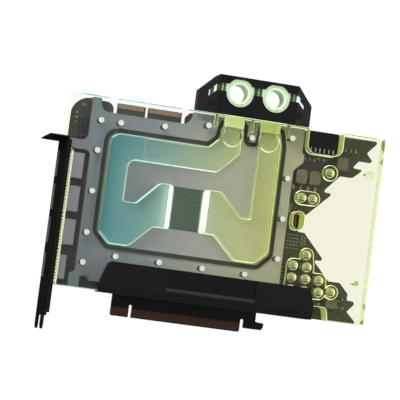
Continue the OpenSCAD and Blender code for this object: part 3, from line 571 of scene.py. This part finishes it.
def plate_finish(name, left, right, roughness, metallic, wear, bare_fins=False):
    """Satin nickel under painted coloured light, which runs from a cool colour at the left to a warm one at
    the right.
    """
    finish = Finish(name, left, roughness, metallic)
    strokes = finish.group("Brushed Strokes", {"Stretch": (25, 400, 160)})
    # The shift from left to right is painted coloured light
    shift = finish.left_to_right(left, right, PLATE_SHIFT)
    colour = finish.mixed(wear, shift, strokes, blend_type="MULTIPLY")
    if bare_fins:
        # The fin field gets painted green light and painted sheen
        colour = finish.mixed(finish.window(PROCESSOR, HALF_FINS), colour, fin_weave(finish))
    finish.surface({"Base Color": colour})
    return finish.grainy_roughness(320, roughness - 0.04, roughness + 0.06)


def fin_weave(finish):
    """Painted green light and painted sheen on the fine fins, crossed by slanted bands."""
    turned = finish.node("ShaderNodeMapping", {
        "Vector": finish.coords, "Rotation": (0, math.radians(32), 0)})
    bands = finish.node("ShaderNodeTexWave", {
        "Vector": turned.outputs["Vector"], "Scale": 190, "Distortion": 0.4},
        wave_type="BANDS", bands_direction="X")
    return finish.mixed(bands.outputs["Fac"], shade(84, 108, 94), shade(116, 138, 122))


def clear_finish(name, tints_and_painted_light, roughness=0.015):
    """Polished clear plastic that lets light through to what lies behind it."""
    finish = Finish(name, tints_and_painted_light[0], roughness)
    tint = finish.left_to_right(*tints_and_painted_light, TINT_SHIFT)
    finish.surface({"Base Color": tint, "Transmission Weight": 1, "IOR": 1.49})
    finish.grainy_roughness(160, roughness * 0.5, roughness * 1.6)
    path = finish.node("ShaderNodeLightPath")
    see_through = finish.node("ShaderNodeBsdfTransparent", {"Color": tint})
    switch = finish.node("ShaderNodeMixShader", {
        0: path.outputs["Is Shadow Ray"], 1: finish.shader.outputs["BSDF"],
        2: see_through.outputs["BSDF"]})
    fill(finish.tree, finish.output, {"Surface": switch.outputs["Shader"]})
    return finish


def lit_edge_finish(name, tints_and_painted_light, glows, strength, roughness=0.12, through=0.5):
    """A wall of the clear plastic with painted colours and a painted glow for the light that the plastic
    carries inside it.
    """
    finish = clear_finish(name, tints_and_painted_light, roughness)
    glow = finish.left_to_right(*glows, GLOW_SHIFT)
    return finish.surface({"Transmission Weight": through, "Emission Color": glow,
                           "Emission Strength": strength})


def glow_finish(name, colour, strength):
    """A lit light chip under its soft yellow-green cast."""
    finish = Finish(name, colour, 0.3)
    return finish.lit(finish.mixed(finish.grain(900), lighter(colour, 0.9), colour), strength)


# Operators

class PieceOperator:
    """What every operator of this file shares."""
    bl_options = {"REGISTER", "UNDO"}

    def settings(self, context, name):
        return getattr(context.scene, "water_block_" + name)


class WATERBLOCK_OT_shared_effects(PieceOperator, bpy.types.Operator):
    """Build the shared shader groups"""
    bl_idname = "waterblock.shared_effects"
    bl_label = "Shared Effects"

    def execute(self, context):
        surface_grain_group()
        window_group()
        left_to_right_group()
        brushed_group()
        return {"FINISHED"}


class WATERBLOCK_OT_stage(PieceOperator, bpy.types.Operator):
    """Make the floor, backdrop, lights and camera"""
    bl_idname = "waterblock.stage"
    bl_label = "Stage, Lights and Camera"

    def execute(self, context):
        settings = self.settings(context, "stage")
        self.sweep(settings)
        self.room(context, settings)
        self.lamp("key light", (-0.75, -1.2, 1.05), 1.1, settings.key_power, (1.0, 0.98, 0.95))
        self.lamp("fill light", (1.3, -1.0, 0.3), 0.8, settings.fill_power, (0.98, 1.0, 0.95))
        self.camera(context)
        return {"FINISHED"}

    def sweep(self, settings):
        """A pale floor that curves up into a backdrop far behind the part."""
        bm = bmesh.new()
        floor = -settings.floor_drop
        profile = ((-1.8, floor), (1.8, floor), (2.6, floor), (2.6, 2.2))
        verts = [bm.verts.new((-3, y, z)) for y, z in profile]
        edges = [bm.edges.new(pair) for pair in zip(verts, verts[1:])]
        bmesh.ops.bevel(bm, geom=[verts[2]], offset=0.7, offset_type="OFFSET", segments=10, profile=0.5,
                        affect="VERTICES", material=-1)
        made = bmesh.ops.extrude_edge_only(bm, edges=bm.edges[:])
        bmesh.ops.translate(bm, verts=[v for v in made["geom"] if isinstance(v, bmesh.types.BMVert)],
                            vec=(6, 0, 0))
        bmesh.ops.recalc_face_normals(bm, faces=bm.faces)
        sweep = make_object("sweep", bm, [self.pale_sheet(settings)])

    def pale_sheet(self, settings):
        """Shows white to the eye and through the clear parts, and lights the part only dimly."""
        finish = Finish("pale sweep", (0.04, 0.04, 0.04), 0.9)
        path = finish.node("ShaderNodeLightPath")
        seen = combined(finish.tree, "Math", "MAXIMUM", path.outputs["Is Camera Ray"],
                        path.outputs["Is Transmission Ray"])
        return finish.surface({
            "Emission Color": finish.mixed(finish.grain(3), (0.985, 0.985, 0.985), (1, 1, 1)),
            "Emission Strength": finish.spread(seen, 0, 1, settings.room, 1)})

    def room(self, context, settings):
        """White where the camera looks past the part, and a dim soft room for light and gloss."""
        world = bpy.data.worlds.new("room")
        context.scene.world = world
        world.use_nodes = True
        tree = world.node_tree
        dim = fill(tree, tree.nodes["Background"], {
            "Color": (0.93, 0.97, 1.0, 1), "Strength": settings.room})
        white = add_node(tree, "ShaderNodeBackground", {"Color": (1, 1, 1, 1)})
        path = add_node(tree, "ShaderNodeLightPath")
        switch = add_node(tree, "ShaderNodeMixShader", {
            0: path.outputs["Is Camera Ray"], 1: dim.outputs["Background"],
            2: white.outputs["Background"]})
        fill(tree, tree.nodes["World Output"], {"Surface": switch.outputs["Shader"]})

    def lamp(self, name, spot, size, power, colour):
        light = bpy.data.lights.new(name, "AREA")
        light.energy = power
        light.size = size
        light.color = colour
        lamp = bpy.data.objects.new(name, light)
        lamp.location = spot
        aim = Vector(AIM) - lamp.location
        lamp.rotation_euler = aim.to_track_quat("-Z", "Y").to_euler()
        bpy.context.scene.collection.objects.link(lamp)

    def camera(self, context):
        """The photograph's view."""
        lens = bpy.data.cameras.new("camera")
        lens.sensor_width = 36
        lens.lens = FOCAL_LENGTH
        lens.clip_start = 0.01
        lens.clip_end = 20
        camera = bpy.data.objects.new("camera", lens)
        camera.location = CAMERA_PLACE
        camera.rotation_euler = [math.radians(angle) for angle in CAMERA_TURN]
        context.scene.collection.objects.link(camera)
        context.scene.camera = camera
        context.scene.view_settings.view_transform = "Standard"


class WATERBLOCK_OT_board(PieceOperator, bpy.types.Operator):
    """Finish the circuit board, its contacts and the parts on it"""
    bl_idname = "waterblock.board"
    bl_label = "Circuit Board"

    def execute(self, context):
        settings = self.settings(context, "board")
        dress(["board"], board_finish(settings))
        dress(["edge_contacts"], contact_finish("dull edge gold", settings.edge_gold, 0.42))
        dress(["bridge_contacts"], contact_finish("bright bridge gold", settings.bridge_gold, 0.35))
        dress(["processor_carrier"], moulded_finish("green carrier", shade(50, 90, 60)))
        dress(["processor_die"], metal_finish("dark die", (0.12, 0.12, 0.14), 0.12))
        dress(["memory_chips", "power_stages"], moulded_finish("moulded chip", shade(38, 38, 40)))
        dress(["thermal_pads"], moulded_finish("soft pad", shade(150, 150, 160), 0.7))
        dress(["small_board_parts"], self.small_parts())
        dress(["square_coils"], self.coils())
        dress(["power_socket"], moulded_finish("socket plastic", shade(14, 14, 12), 0.4, gloss=0.3))
        dress(["side_header"], moulded_finish("side header plastic", shade(30, 30, 34), 0.4))
        dress(["power_pins"], metal_finish("tinned pin", (0.82, 0.82, 0.84), 0.2))
        dress(["light_header"], moulded_finish("brown header", shade(120, 92, 44), 0.4))
        dress(["light_header_pins"], metal_finish("gold pin", (0.9, 0.72, 0.34), 0.2))
        return {"FINISHED"}

    def small_parts(self):
        """Tiny ceramic parts whose colour changes from one to the next."""
        finish = Finish("small ceramic parts", shade(150, 140, 110), 0.4)
        cells = finish.node("ShaderNodeTexVoronoi", {"Vector": finish.coords, "Scale": 420})
        split = finish.node("ShaderNodeSeparateColor", {"Color": cells.outputs["Color"]})
        colour = finish.mixed(split.outputs["Red"], shade(86, 82, 64), shade(168, 168, 138))
        return finish.surface({"Base Color": colour}).grainy_roughness(1500, 0.3, 0.5)

    def coils(self):
        """Pressed grey powder blocks with a mottled face."""
        finish = Finish("pressed coil", shade(96, 92, 86), 0.6)
        finish.varied_colour(shade(84, 80, 74), shade(108, 104, 98), 900)
        finish.grainy_roughness(900, 0.5, 0.7)
        return finish.bumps(finish.grain(1600), 0.4, 0.0001)


class WATERBLOCK_OT_capacitors(PieceOperator, bpy.types.Operator):
    """Turn the round capacitors with their rolled necks and scored tops"""
    bl_idname = "waterblock.capacitors"
    bl_label = "Round Capacitors"

    # Places of the finishes in the piece's list
    METAL, MARK, FOOT = range(3)

    def execute(self, context):
        bm = bmesh.new()
        for low, high in island_boxes("round_capacitors"):
            x, _, z = measured((low + high) / 2)
            self.can(bm, x, z)
        smooth_by_angle(bm, 30)
        # The cans' pale yellow-green is partly painted light, the green cast of the block's lights on their
        # satin metal
        piece = new_piece("capacitor_cans", bm, [
            metal_finish("satin can", shade(244, 250, 214), 0.32, (500, 500, 500)),
            moulded_finish("can mark", shade(92, 104, 66), 0.5),
            moulded_finish("can foot", shade(28, 28, 26), 0.5)])
        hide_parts("round_capacitors")
        return {"FINISHED"}

    def can(self, bm, x, z):
        """One can at x and z: a lathe-turned shell, three score lines, a dark mark and a square foot."""
        radius = CAN_RADIUS - 0.02
        profile = ((0, 1.05), (radius - 0.3, 1.05), (radius, 1.3), (radius, 2.1), (radius - 0.28, 2.4),
                   (radius, 2.7), (radius, CAN_HEIGHT - 0.55), (radius - 0.18, CAN_HEIGHT - 0.2),
                   (radius - 0.55, CAN_HEIGHT - 0.08), (0, CAN_HEIGHT - 0.08))
        line = [bm.verts.new(place(x + r, w, z)) for r, w in profile]
        edges = [bm.edges.new(pair) for pair in zip(line, line[1:])]
        centre = place(x, 0, z)
        turned = bmesh.ops.spin(bm, geom=line + edges, cent=centre, axis=(0, 1, 0), dvec=(0, 0, 0),
                                angle=2 * math.pi, steps=32, use_merge=True, use_duplicate=False)
        near = [v for v in bm.verts if (v.co - centre).length < 0.02
                and math.hypot(v.co.x - centre.x, v.co.z - centre.z) < (CAN_RADIUS + 0.1) / 1000]
        bmesh.ops.remove_doubles(bm, verts=near, dist=MERGE_REACH)
        shell = {f for v in near if v.is_valid for f in v.link_faces}
        bmesh.ops.recalc_face_normals(bm, faces=list(shell))
        for turn in (0, 60, 120):
            self.bar(bm, x, z, CAN_HEIGHT - 0.05, (4.2, 0.06, 0.22), turn, self.MARK)
        self.bar(bm, x, z - 1.75, CAN_HEIGHT - 0.05, (3.6, 0.06, 1.1), 0, self.MARK)
        self.bar(bm, x, z, 0.53, (6.3, 1.02, 6.3), 0, self.FOOT)

    def bar(self, bm, x, z, w, size, turn, material_index):
        """A small block about a point: size along the board, in depth and in height."""
        made = bmesh.ops.create_cube(bm, size=0.001)
        bmesh.ops.scale(bm, vec=size, verts=made["verts"])
        bmesh.ops.rotate(bm, verts=made["verts"], cent=(0, 0, 0),
                         matrix=Matrix.Rotation(math.radians(turn), 3, "Y"))
        bmesh.ops.translate(bm, verts=made["verts"], vec=place(x, w, z))
        for face in {f for v in made["verts"] for f in v.link_faces}:
            face.material_index = material_index


class WATERBLOCK_OT_bracket(PieceOperator, bpy.types.Operator):
    """Finish the slot bracket and the video sockets behind it"""
    bl_idname = "waterblock.bracket"
    bl_label = "Slot Bracket"

    def execute(self, context):
        dress(["slot_bracket"], moulded_finish("black bracket paint", shade(37, 36, 31), 0.5, gloss=0.0))
        dress(["bracket_screws", "board_screws"], metal_finish("blackened screw", shade(40, 40, 40), 0.35))
        dress(["video_socket_shells"],
              metal_finish("nickel shell", shade(166, 162, 172), 0.34, metallic=0.6))
        dress(["video_socket_tongues", "video_socket_bodies"],
              moulded_finish("socket core", shade(26, 26, 28), 0.5))
        return {"FINISHED"}


class WATERBLOCK_OT_plate(PieceOperator, bpy.types.Operator):
    """Finish the cooling plate, its fins, the channel floors and the sealing cord"""
    bl_idname = "waterblock.plate"
    bl_label = "Cooling Plate"

    def execute(self, context):
        settings = self.settings(context, "metal")
        dress(["cooling_plate"], plate_finish(
            "satin nickel plate", settings.plate_left, settings.plate_right, 0.36, 0.35, 0.16, True))
        dress(["sealing_cord"], moulded_finish("sealing cord", shade(84, 88, 82), 0.6))
        # The channel floors' teal-to-olive colour is painted coloured light
        floor_finish = plate_finish(
            "wetted channel floor in painted light", settings.channel_left, settings.channel_right, 0.34, 0.1, 0.04)
        for name, outline in (("inlet_floor", INLET), ("outlet_floor", OUTLET)):
            bm = bmesh.new()
            faces = flat_outline(bm, outline, PLATE_FRONT + FILM_LIFT)
            bmesh.ops.recalc_face_normals(bm, faces=faces)
            if bm.faces[:][0].normal.y > 0:
                bmesh.ops.reverse_faces(bm, faces=bm.faces)
            new_piece(name, bm, [floor_finish])
        self.painted_hole_shade()
        return {"FINISHED"}

    def painted_hole_shade(self):
        """Dark discs of painted shade at the countersunk mouths of the screw holes in the plate, seen
        beside the screws.
        """
        bm = bmesh.new()
        for low, high in island_boxes("cover_screws"):
            x, _, z = measured((low + high) / 2)
            spot = Matrix.Translation(place(x, PLATE_FRONT + FILM_LIFT, z))
            bmesh.ops.create_circle(bm, cap_ends=True, segments=24, radius=HOLE_MOUTH / 1000,
                                    matrix=spot @ Matrix.Rotation(math.radians(90), 4, "X"))
        new_piece("painted_hole_shade", bm, [moulded_finish("shaded hole", shade(34, 38, 34), 0.6)])


class WATERBLOCK_OT_clear_cover(PieceOperator, bpy.types.Operator):
    """Make the clear cover with its lit edges, lit channel ramps and duct walls in painted green light"""
    bl_idname = "waterblock.clear_cover"
    bl_label = "Clear Cover"

    # Places of the finishes in the piece's list
    CLEAR, EDGE, RAMP, DUCT, RIM, LEFT_WALL, SHADED = range(7)

    def execute(self, context):
        settings = self.settings(context, "clear")
        self.screws = island_boxes("cover_screws") + island_boxes("terminal_screws")
        cord = merged_copy("sealing_cord")
        self.cord = BVHTree.FromBMesh(cord)
        cord.free()
        bm = merged_copy("clear_cover")
        move_level(bm, 1, -PLATE_FRONT / 1000, -COVER_GAP / 1000)
        move_level(bm, 1, -COVER_FRONT / 1000, FACE_GAP / 1000)
        # The wells' roofs are divided here, because undivided they fold over themselves in the bevel
        for level in (WELL_MIDDLE, DUCT_FOOT):
            cut_across(bm, 2, level / 1000)
        for face in bm.faces:
            face.material_index = self.face_finish(face)
        polish_rims(bm, settings.rim_width, self.RIM, self.has_rim)
        for face in bm.faces:
            if face.material_index == self.RIM and self.at_left_end(face):
                face.material_index = self.LEFT_WALL
            elif (face.material_index in (self.EDGE, self.RIM)
                    and face.normal.x > 0.6 and face.normal.y > -0.1):
                face.material_index = self.SHADED
        smooth_by_angle(bm)
        piece = new_piece("polished_cover", bm, self.finishes(settings))
        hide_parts("clear_cover")
        return {"FINISHED"}

    def finishes(self, settings):
        """The cover's finishes, in the order of their places in the list."""
        ducts = settings.duct_left, settings.duct_right
        rims = settings.left_rim, settings.right_rim
        return [
            clear_finish("clear cover plastic", (settings.left_tint, settings.right_tint)),
            lit_edge_finish("lit cover edge", (settings.left_edge, settings.right_edge),
                            (settings.left_glow, settings.right_glow), settings.glow),
            lit_edge_finish("lit channel ramp", ((0.95, 0.98, 0.95), (0.93, 0.99, 0.93)),
                            (shade(250, 252, 248), shade(190, 232, 190)), 0.85, 0.3, 1.0),
            lit_edge_finish("lit duct wall", ducts, ducts, 0.38, 0.12, 0.6),
            lit_edge_finish("painted highlight rim", rims, rims, 1.1, 0.3, 0.0),
            self.left_wall(),
            lit_edge_finish("shaded wall", (settings.left_shaded, settings.right_edge),
                            (settings.left_shaded, settings.right_glow), settings.glow)]

    def left_wall(self):
        """The cover's left end: pale light broken by a comb of dark dashes."""
        finish = Finish("lit left end", shade(226, 232, 196), 0.3)
        comb = finish.node("ShaderNodeTexWave", {
            "Vector": finish.coords, "Scale": 150, "Distortion": 5, "Detail": 1},
            wave_type="BANDS", bands_direction="Z")
        marks = finish.spread(comb.outputs["Fac"], 0.55, 0.75)
        split = finish.node("ShaderNodeSeparateXYZ", {"Vector": finish.coords})
        behind = combined(finish.tree, "Math", "GREATER_THAN", split.outputs["Y"], -COMB_FRONT / 1000)
        for mask in (finish.window(*COMB), behind):
            marks = combined(finish.tree, "Math", "MULTIPLY", marks, mask)
        return finish.lit(finish.mixed(marks, shade(240, 245, 206), shade(40, 44, 34)), 0.9)

    def face_finish(self, face):
        """Place in the list of one face's finish."""
        middle = face.calc_center_median()
        is_wall = abs(face.normal.y) < WALL_LEAN
        if is_wall and self.by_end_hole(middle):
            return self.DUCT
        if face.normal.x < -0.9 and self.at_left_end(face):
            return self.LEFT_WALL
        if self.in_duct(middle):
            return self.DUCT
        if beside(middle, self.screws):
            return self.CLEAR
        if is_wall:
            return self.EDGE
        if abs(face.normal.y) < 0.97 and self.by_fins(middle):
            return self.RAMP
        return self.CLEAR

    def has_rim(self, point):
        """Whether a painted highlight rim shows at a point: not by screws, cord or end holes, nor in the
        ducts.
        """
        x, _, z = measured(point)
        at_line_or_tip = self.under_port(x) and (abs(z - WELL_MIDDLE) < WELL_GAP or z > WELL_TIPS)
        at_step = ROOF_STEP[0][0] < x < ROOF_STEP[0][1] and ROOF_STEP[1][0] < z < ROOF_STEP[1][1]
        by_cord = self.cord.find_nearest(point)[3] < CORD_REACH
        return not (at_line_or_tip or at_step or by_cord or beside(point, self.screws)
                    or self.by_end_hole(point) or self.in_duct(point))

    def at_left_end(self, face):
        """Whether a face is at the cover's left end."""
        return measured(face.calc_center_median())[0] < COVER_END

    def by_end_hole(self, point):
        """Whether a point is in or beside one of the holes at the cover's free end."""
        x, _, z = measured(point)
        return any(math.hypot(x - hole_x, z - hole_z) < END_HOLE_REACH for hole_x, hole_z in END_HOLES)

    def in_duct(self, point):
        """Whether a point is on the wall of one of the flat ducts that run up into the terminal."""
        x, w, z = measured(point)
        return (self.under_port(x) and z > DUCT_FOOT
                and abs(w - (PLATE_FRONT + COVER_FRONT) / 2) < DUCT_HALF_DEPTH)

    def under_port(self, x):
        return any(abs(x - port) < HALF_DUCT for port in PORTS)

    def by_fins(self, point):
        """Whether a point is on a slanted channel end beside the fins."""
        x, _, z = measured(point)
        return (abs(abs(x - PROCESSOR[0]) - HALF_FINS[0]) < RAMP_REACH[0]
                and abs(z - PROCESSOR[1]) < RAMP_REACH[1])


class WATERBLOCK_OT_port_terminal(PieceOperator, bpy.types.Operator):
    """Make the clear port terminal with polished port mouths, and finish its rings and screws"""
    bl_idname = "waterblock.port_terminal"
    bl_label = "Port Terminal"

    # Places of the finishes in the piece's list; each port's ring has its own, from RINGS on
    CLEAR, EDGE, RIM, DARK, RINGS = range(5)

    def execute(self, context):
        settings = self.settings(context, "clear")
        self.screws = island_boxes("terminal_screws") + island_boxes("hood_screws")
        bm = merged_copy("port_terminal")
        move_level(bm, 2, COVER_TOP / 1000, FACE_GAP / 1000)
        for line, reach in [(x, RING_EDGE) for x in PORTS] + [(x, HALF_WEB_LINE) for x in WEB_LINES]:
            for x in (line - reach, line + reach):
                cut_across(bm, 0, place(x, 0, 0).x)
        for face in bm.faces:
            face.material_index = self.face_finish(face)
        polish_rims(bm, settings.rim_width, self.RIM,
                    lambda point: not beside(point, self.screws) and not self.past(point, DARK_ENDS[0]))
        smooth_by_angle(bm)
        piece = new_piece("polished_terminal", bm, self.finishes(settings))
        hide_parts("port_terminal")
        dress(["port_seal_rings"], moulded_finish("port ring rubber", shade(30, 30, 30), 0.6))
        dress(["cover_screws"], self.bright_screw("bright screw", shade(226, 232, 220)))
        dress(["end_standoff"], self.bright_screw("lit standoff", shade(232, 238, 196)))
        dress(["terminal_screws"], metal_finish("shaded screw", shade(122, 142, 100), 0.3, metallic=0.3))
        return {"FINISHED"}

    def finishes(self, settings):
        """The terminal's finishes, in the order of their places in the list."""
        tints_and_painted_light = [settings.port_tint] * 2
        dark = [shade(64, 88, 54)] * 2
        return [
            clear_finish("clear terminal plastic", tints_and_painted_light),
            lit_edge_finish("lit terminal edge", (shade(190, 208, 172), shade(190, 208, 166)),
                            (shade(190, 214, 168), shade(190, 214, 160)), settings.glow, 0.2, 0.6),
            lit_edge_finish("painted highlight port rim", tints_and_painted_light, [shade(206, 232, 186)] * 2, 0.9, 0.3, 0.0),
            lit_edge_finish("dark terminal end", dark, dark, 0.1, 0.3, 0.1),
            *[self.ring_finish(x) for x in PORTS]]

    def face_finish(self, face):
        """Place in the list of one face's finish."""
        middle = face.calc_center_median()
        x, _, z = measured(middle)
        if face.normal.y < -0.9 and z > PORT_HEIGHT - RING_REACH:
            for index, port in enumerate(PORTS):
                if abs(x - port) < RING_EDGE:
                    return self.RINGS + index
            return self.EDGE if any(abs(x - line) < HALF_WEB_LINE for line in WEB_LINES) else self.DARK
        if beside(middle, self.screws):
            return self.CLEAR
        if (abs(face.normal.x) > 0.5 and self.past(middle, DARK_ENDS[0])
                and not self.past(middle, DARK_ENDS[1])):
            return self.DARK
        if abs(face.normal.y) < WALL_LEAN or face.calc_area() < SMALL_FACE:
            return self.EDGE
        return self.CLEAR

    def past(self, point, reach):
        """Whether a point is farther than a reach from the middle between the ports."""
        return abs(measured(point)[0] - sum(PORTS) / 2) > reach

    def ring_finish(self, x):
        """Ring of a port in painted pale green light, turned in fine concentric steps round the port's
        axis.
        """
        finish = Finish("port ring", shade(206, 226, 190), 0.25)
        centred = finish.node("ShaderNodeMapping", {
            "Vector": finish.coords, "Location": -place(x, 0, PORT_HEIGHT)})
        steps = finish.node("ShaderNodeTexWave", {"Vector": centred.outputs["Vector"], "Scale": 210},
                            wave_type="RINGS", rings_direction="Y")
        finish.surface({"Transmission Weight": 0.35})
        return finish.lit(finish.mixed(steps.outputs["Fac"], shade(176, 204, 160),
                                       shade(216, 232, 202)), 0.3)

    def bright_screw(self, name, colour):
        """Polished metal with a painted glow for the light of the clear cover round it."""
        finish = metal_finish(name, colour, 0.3, (600, 600, 600), 0.1)
        return finish.surface({"Emission Color": (*lighter(colour, 0.85), 1), "Emission Strength": 0.3})


class WATERBLOCK_OT_hood(PieceOperator, bpy.types.Operator):
    """Finish the port terminal's black hood"""
    bl_idname = "waterblock.hood"
    bl_label = "Terminal Hood"

    def execute(self, context):
        dress(["terminal_hood"], moulded_finish("matt black hood", shade(17, 17, 18), 0.42, gloss=0.25))
        dress(["hood_screws"], metal_finish("hood screw", shade(52, 54, 52), 0.22))
        return {"FINISHED"}


class WATERBLOCK_OT_shroud(PieceOperator, bpy.types.Operator):
    """Finish the lower shroud and the lights inside it"""
    bl_idname = "waterblock.shroud"
    bl_label = "Lower Shroud"

    def execute(self, context):
        dress(["lower_shroud"], self.black_shroud())
        dress(["light_strip"], moulded_finish("white light strip", shade(225, 225, 215), 0.5))
        dress(["light_chips"], glow_finish("lit chip", shade(226, 240, 150), 3.0))
        return {"FINISHED"}

    def black_shroud(self):
        """Black anodised metal with painted shade on the sunk panel and a painted highlight on its lower
        border.
        """
        finish = Finish("matt black shroud", shade(17, 17, 17), 0.36)
        # Painted shade on the sunk panel, then a painted highlight on its lower border
        colour = finish.mixed(finish.window(*PANEL_SHADE), shade(17, 17, 17), shade(7, 8, 6))
        colour = finish.mixed(finish.window(*PANEL_HIGHLIGHT), colour, shade(56, 57, 54))
        finish.surface({"Base Color": colour, "Specular IOR Level": 0.3})
        return finish.grainy_roughness(600, 0.32, 0.4)


STEPS = (
    WATERBLOCK_OT_shared_effects,
    WATERBLOCK_OT_stage,
    WATERBLOCK_OT_board,
    WATERBLOCK_OT_capacitors,
    WATERBLOCK_OT_bracket,
    WATERBLOCK_OT_plate,
    WATERBLOCK_OT_clear_cover,
    WATERBLOCK_OT_port_terminal,
    WATERBLOCK_OT_hood,
    WATERBLOCK_OT_shroud,
)

SETTINGS = {
    "stage": StageSettings,
    "clear": ClearSettings,
    "metal": MetalSettings,
    "board": BoardSettings,
}


class WATERBLOCK_PT_pieces(bpy.types.Panel):
    """The pieces and their settings"""
    bl_label = "Water Block"
    bl_idname = "WATERBLOCK_PT_pieces"
    bl_space_type = "VIEW_3D"
    bl_region_type = "UI"
    bl_category = "Water Block"

    def draw(self, context):
        layout = self.layout
        for step in STEPS:
            layout.operator(step.bl_idname)
        for name, group in SETTINGS.items():
            box = layout.box()
            for field in group.__annotations__:
                box.prop(getattr(context.scene, "water_block_" + name), field)


def register():
    for group in SETTINGS.values():
        bpy.utils.register_class(group)
    for name, group in SETTINGS.items():
        setattr(bpy.types.Scene, "water_block_" + name, PointerProperty(type=group))
    for step in STEPS:
        bpy.utils.register_class(step)
    bpy.utils.register_class(WATERBLOCK_PT_pieces)


def unregister():
    bpy.utils.unregister_class(WATERBLOCK_PT_pieces)
    for step in reversed(STEPS):
        bpy.utils.unregister_class(step)
    for name in SETTINGS:
        delattr(bpy.types.Scene, "water_block_" + name)
    for group in SETTINGS.values():
        bpy.utils.unregister_class(group)


def main():
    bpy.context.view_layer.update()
    register()
    for step in STEPS:
        family, name = step.bl_idname.split(".")
        getattr(getattr(bpy.ops, family), name)()


if __name__ == "__main__":
    main()
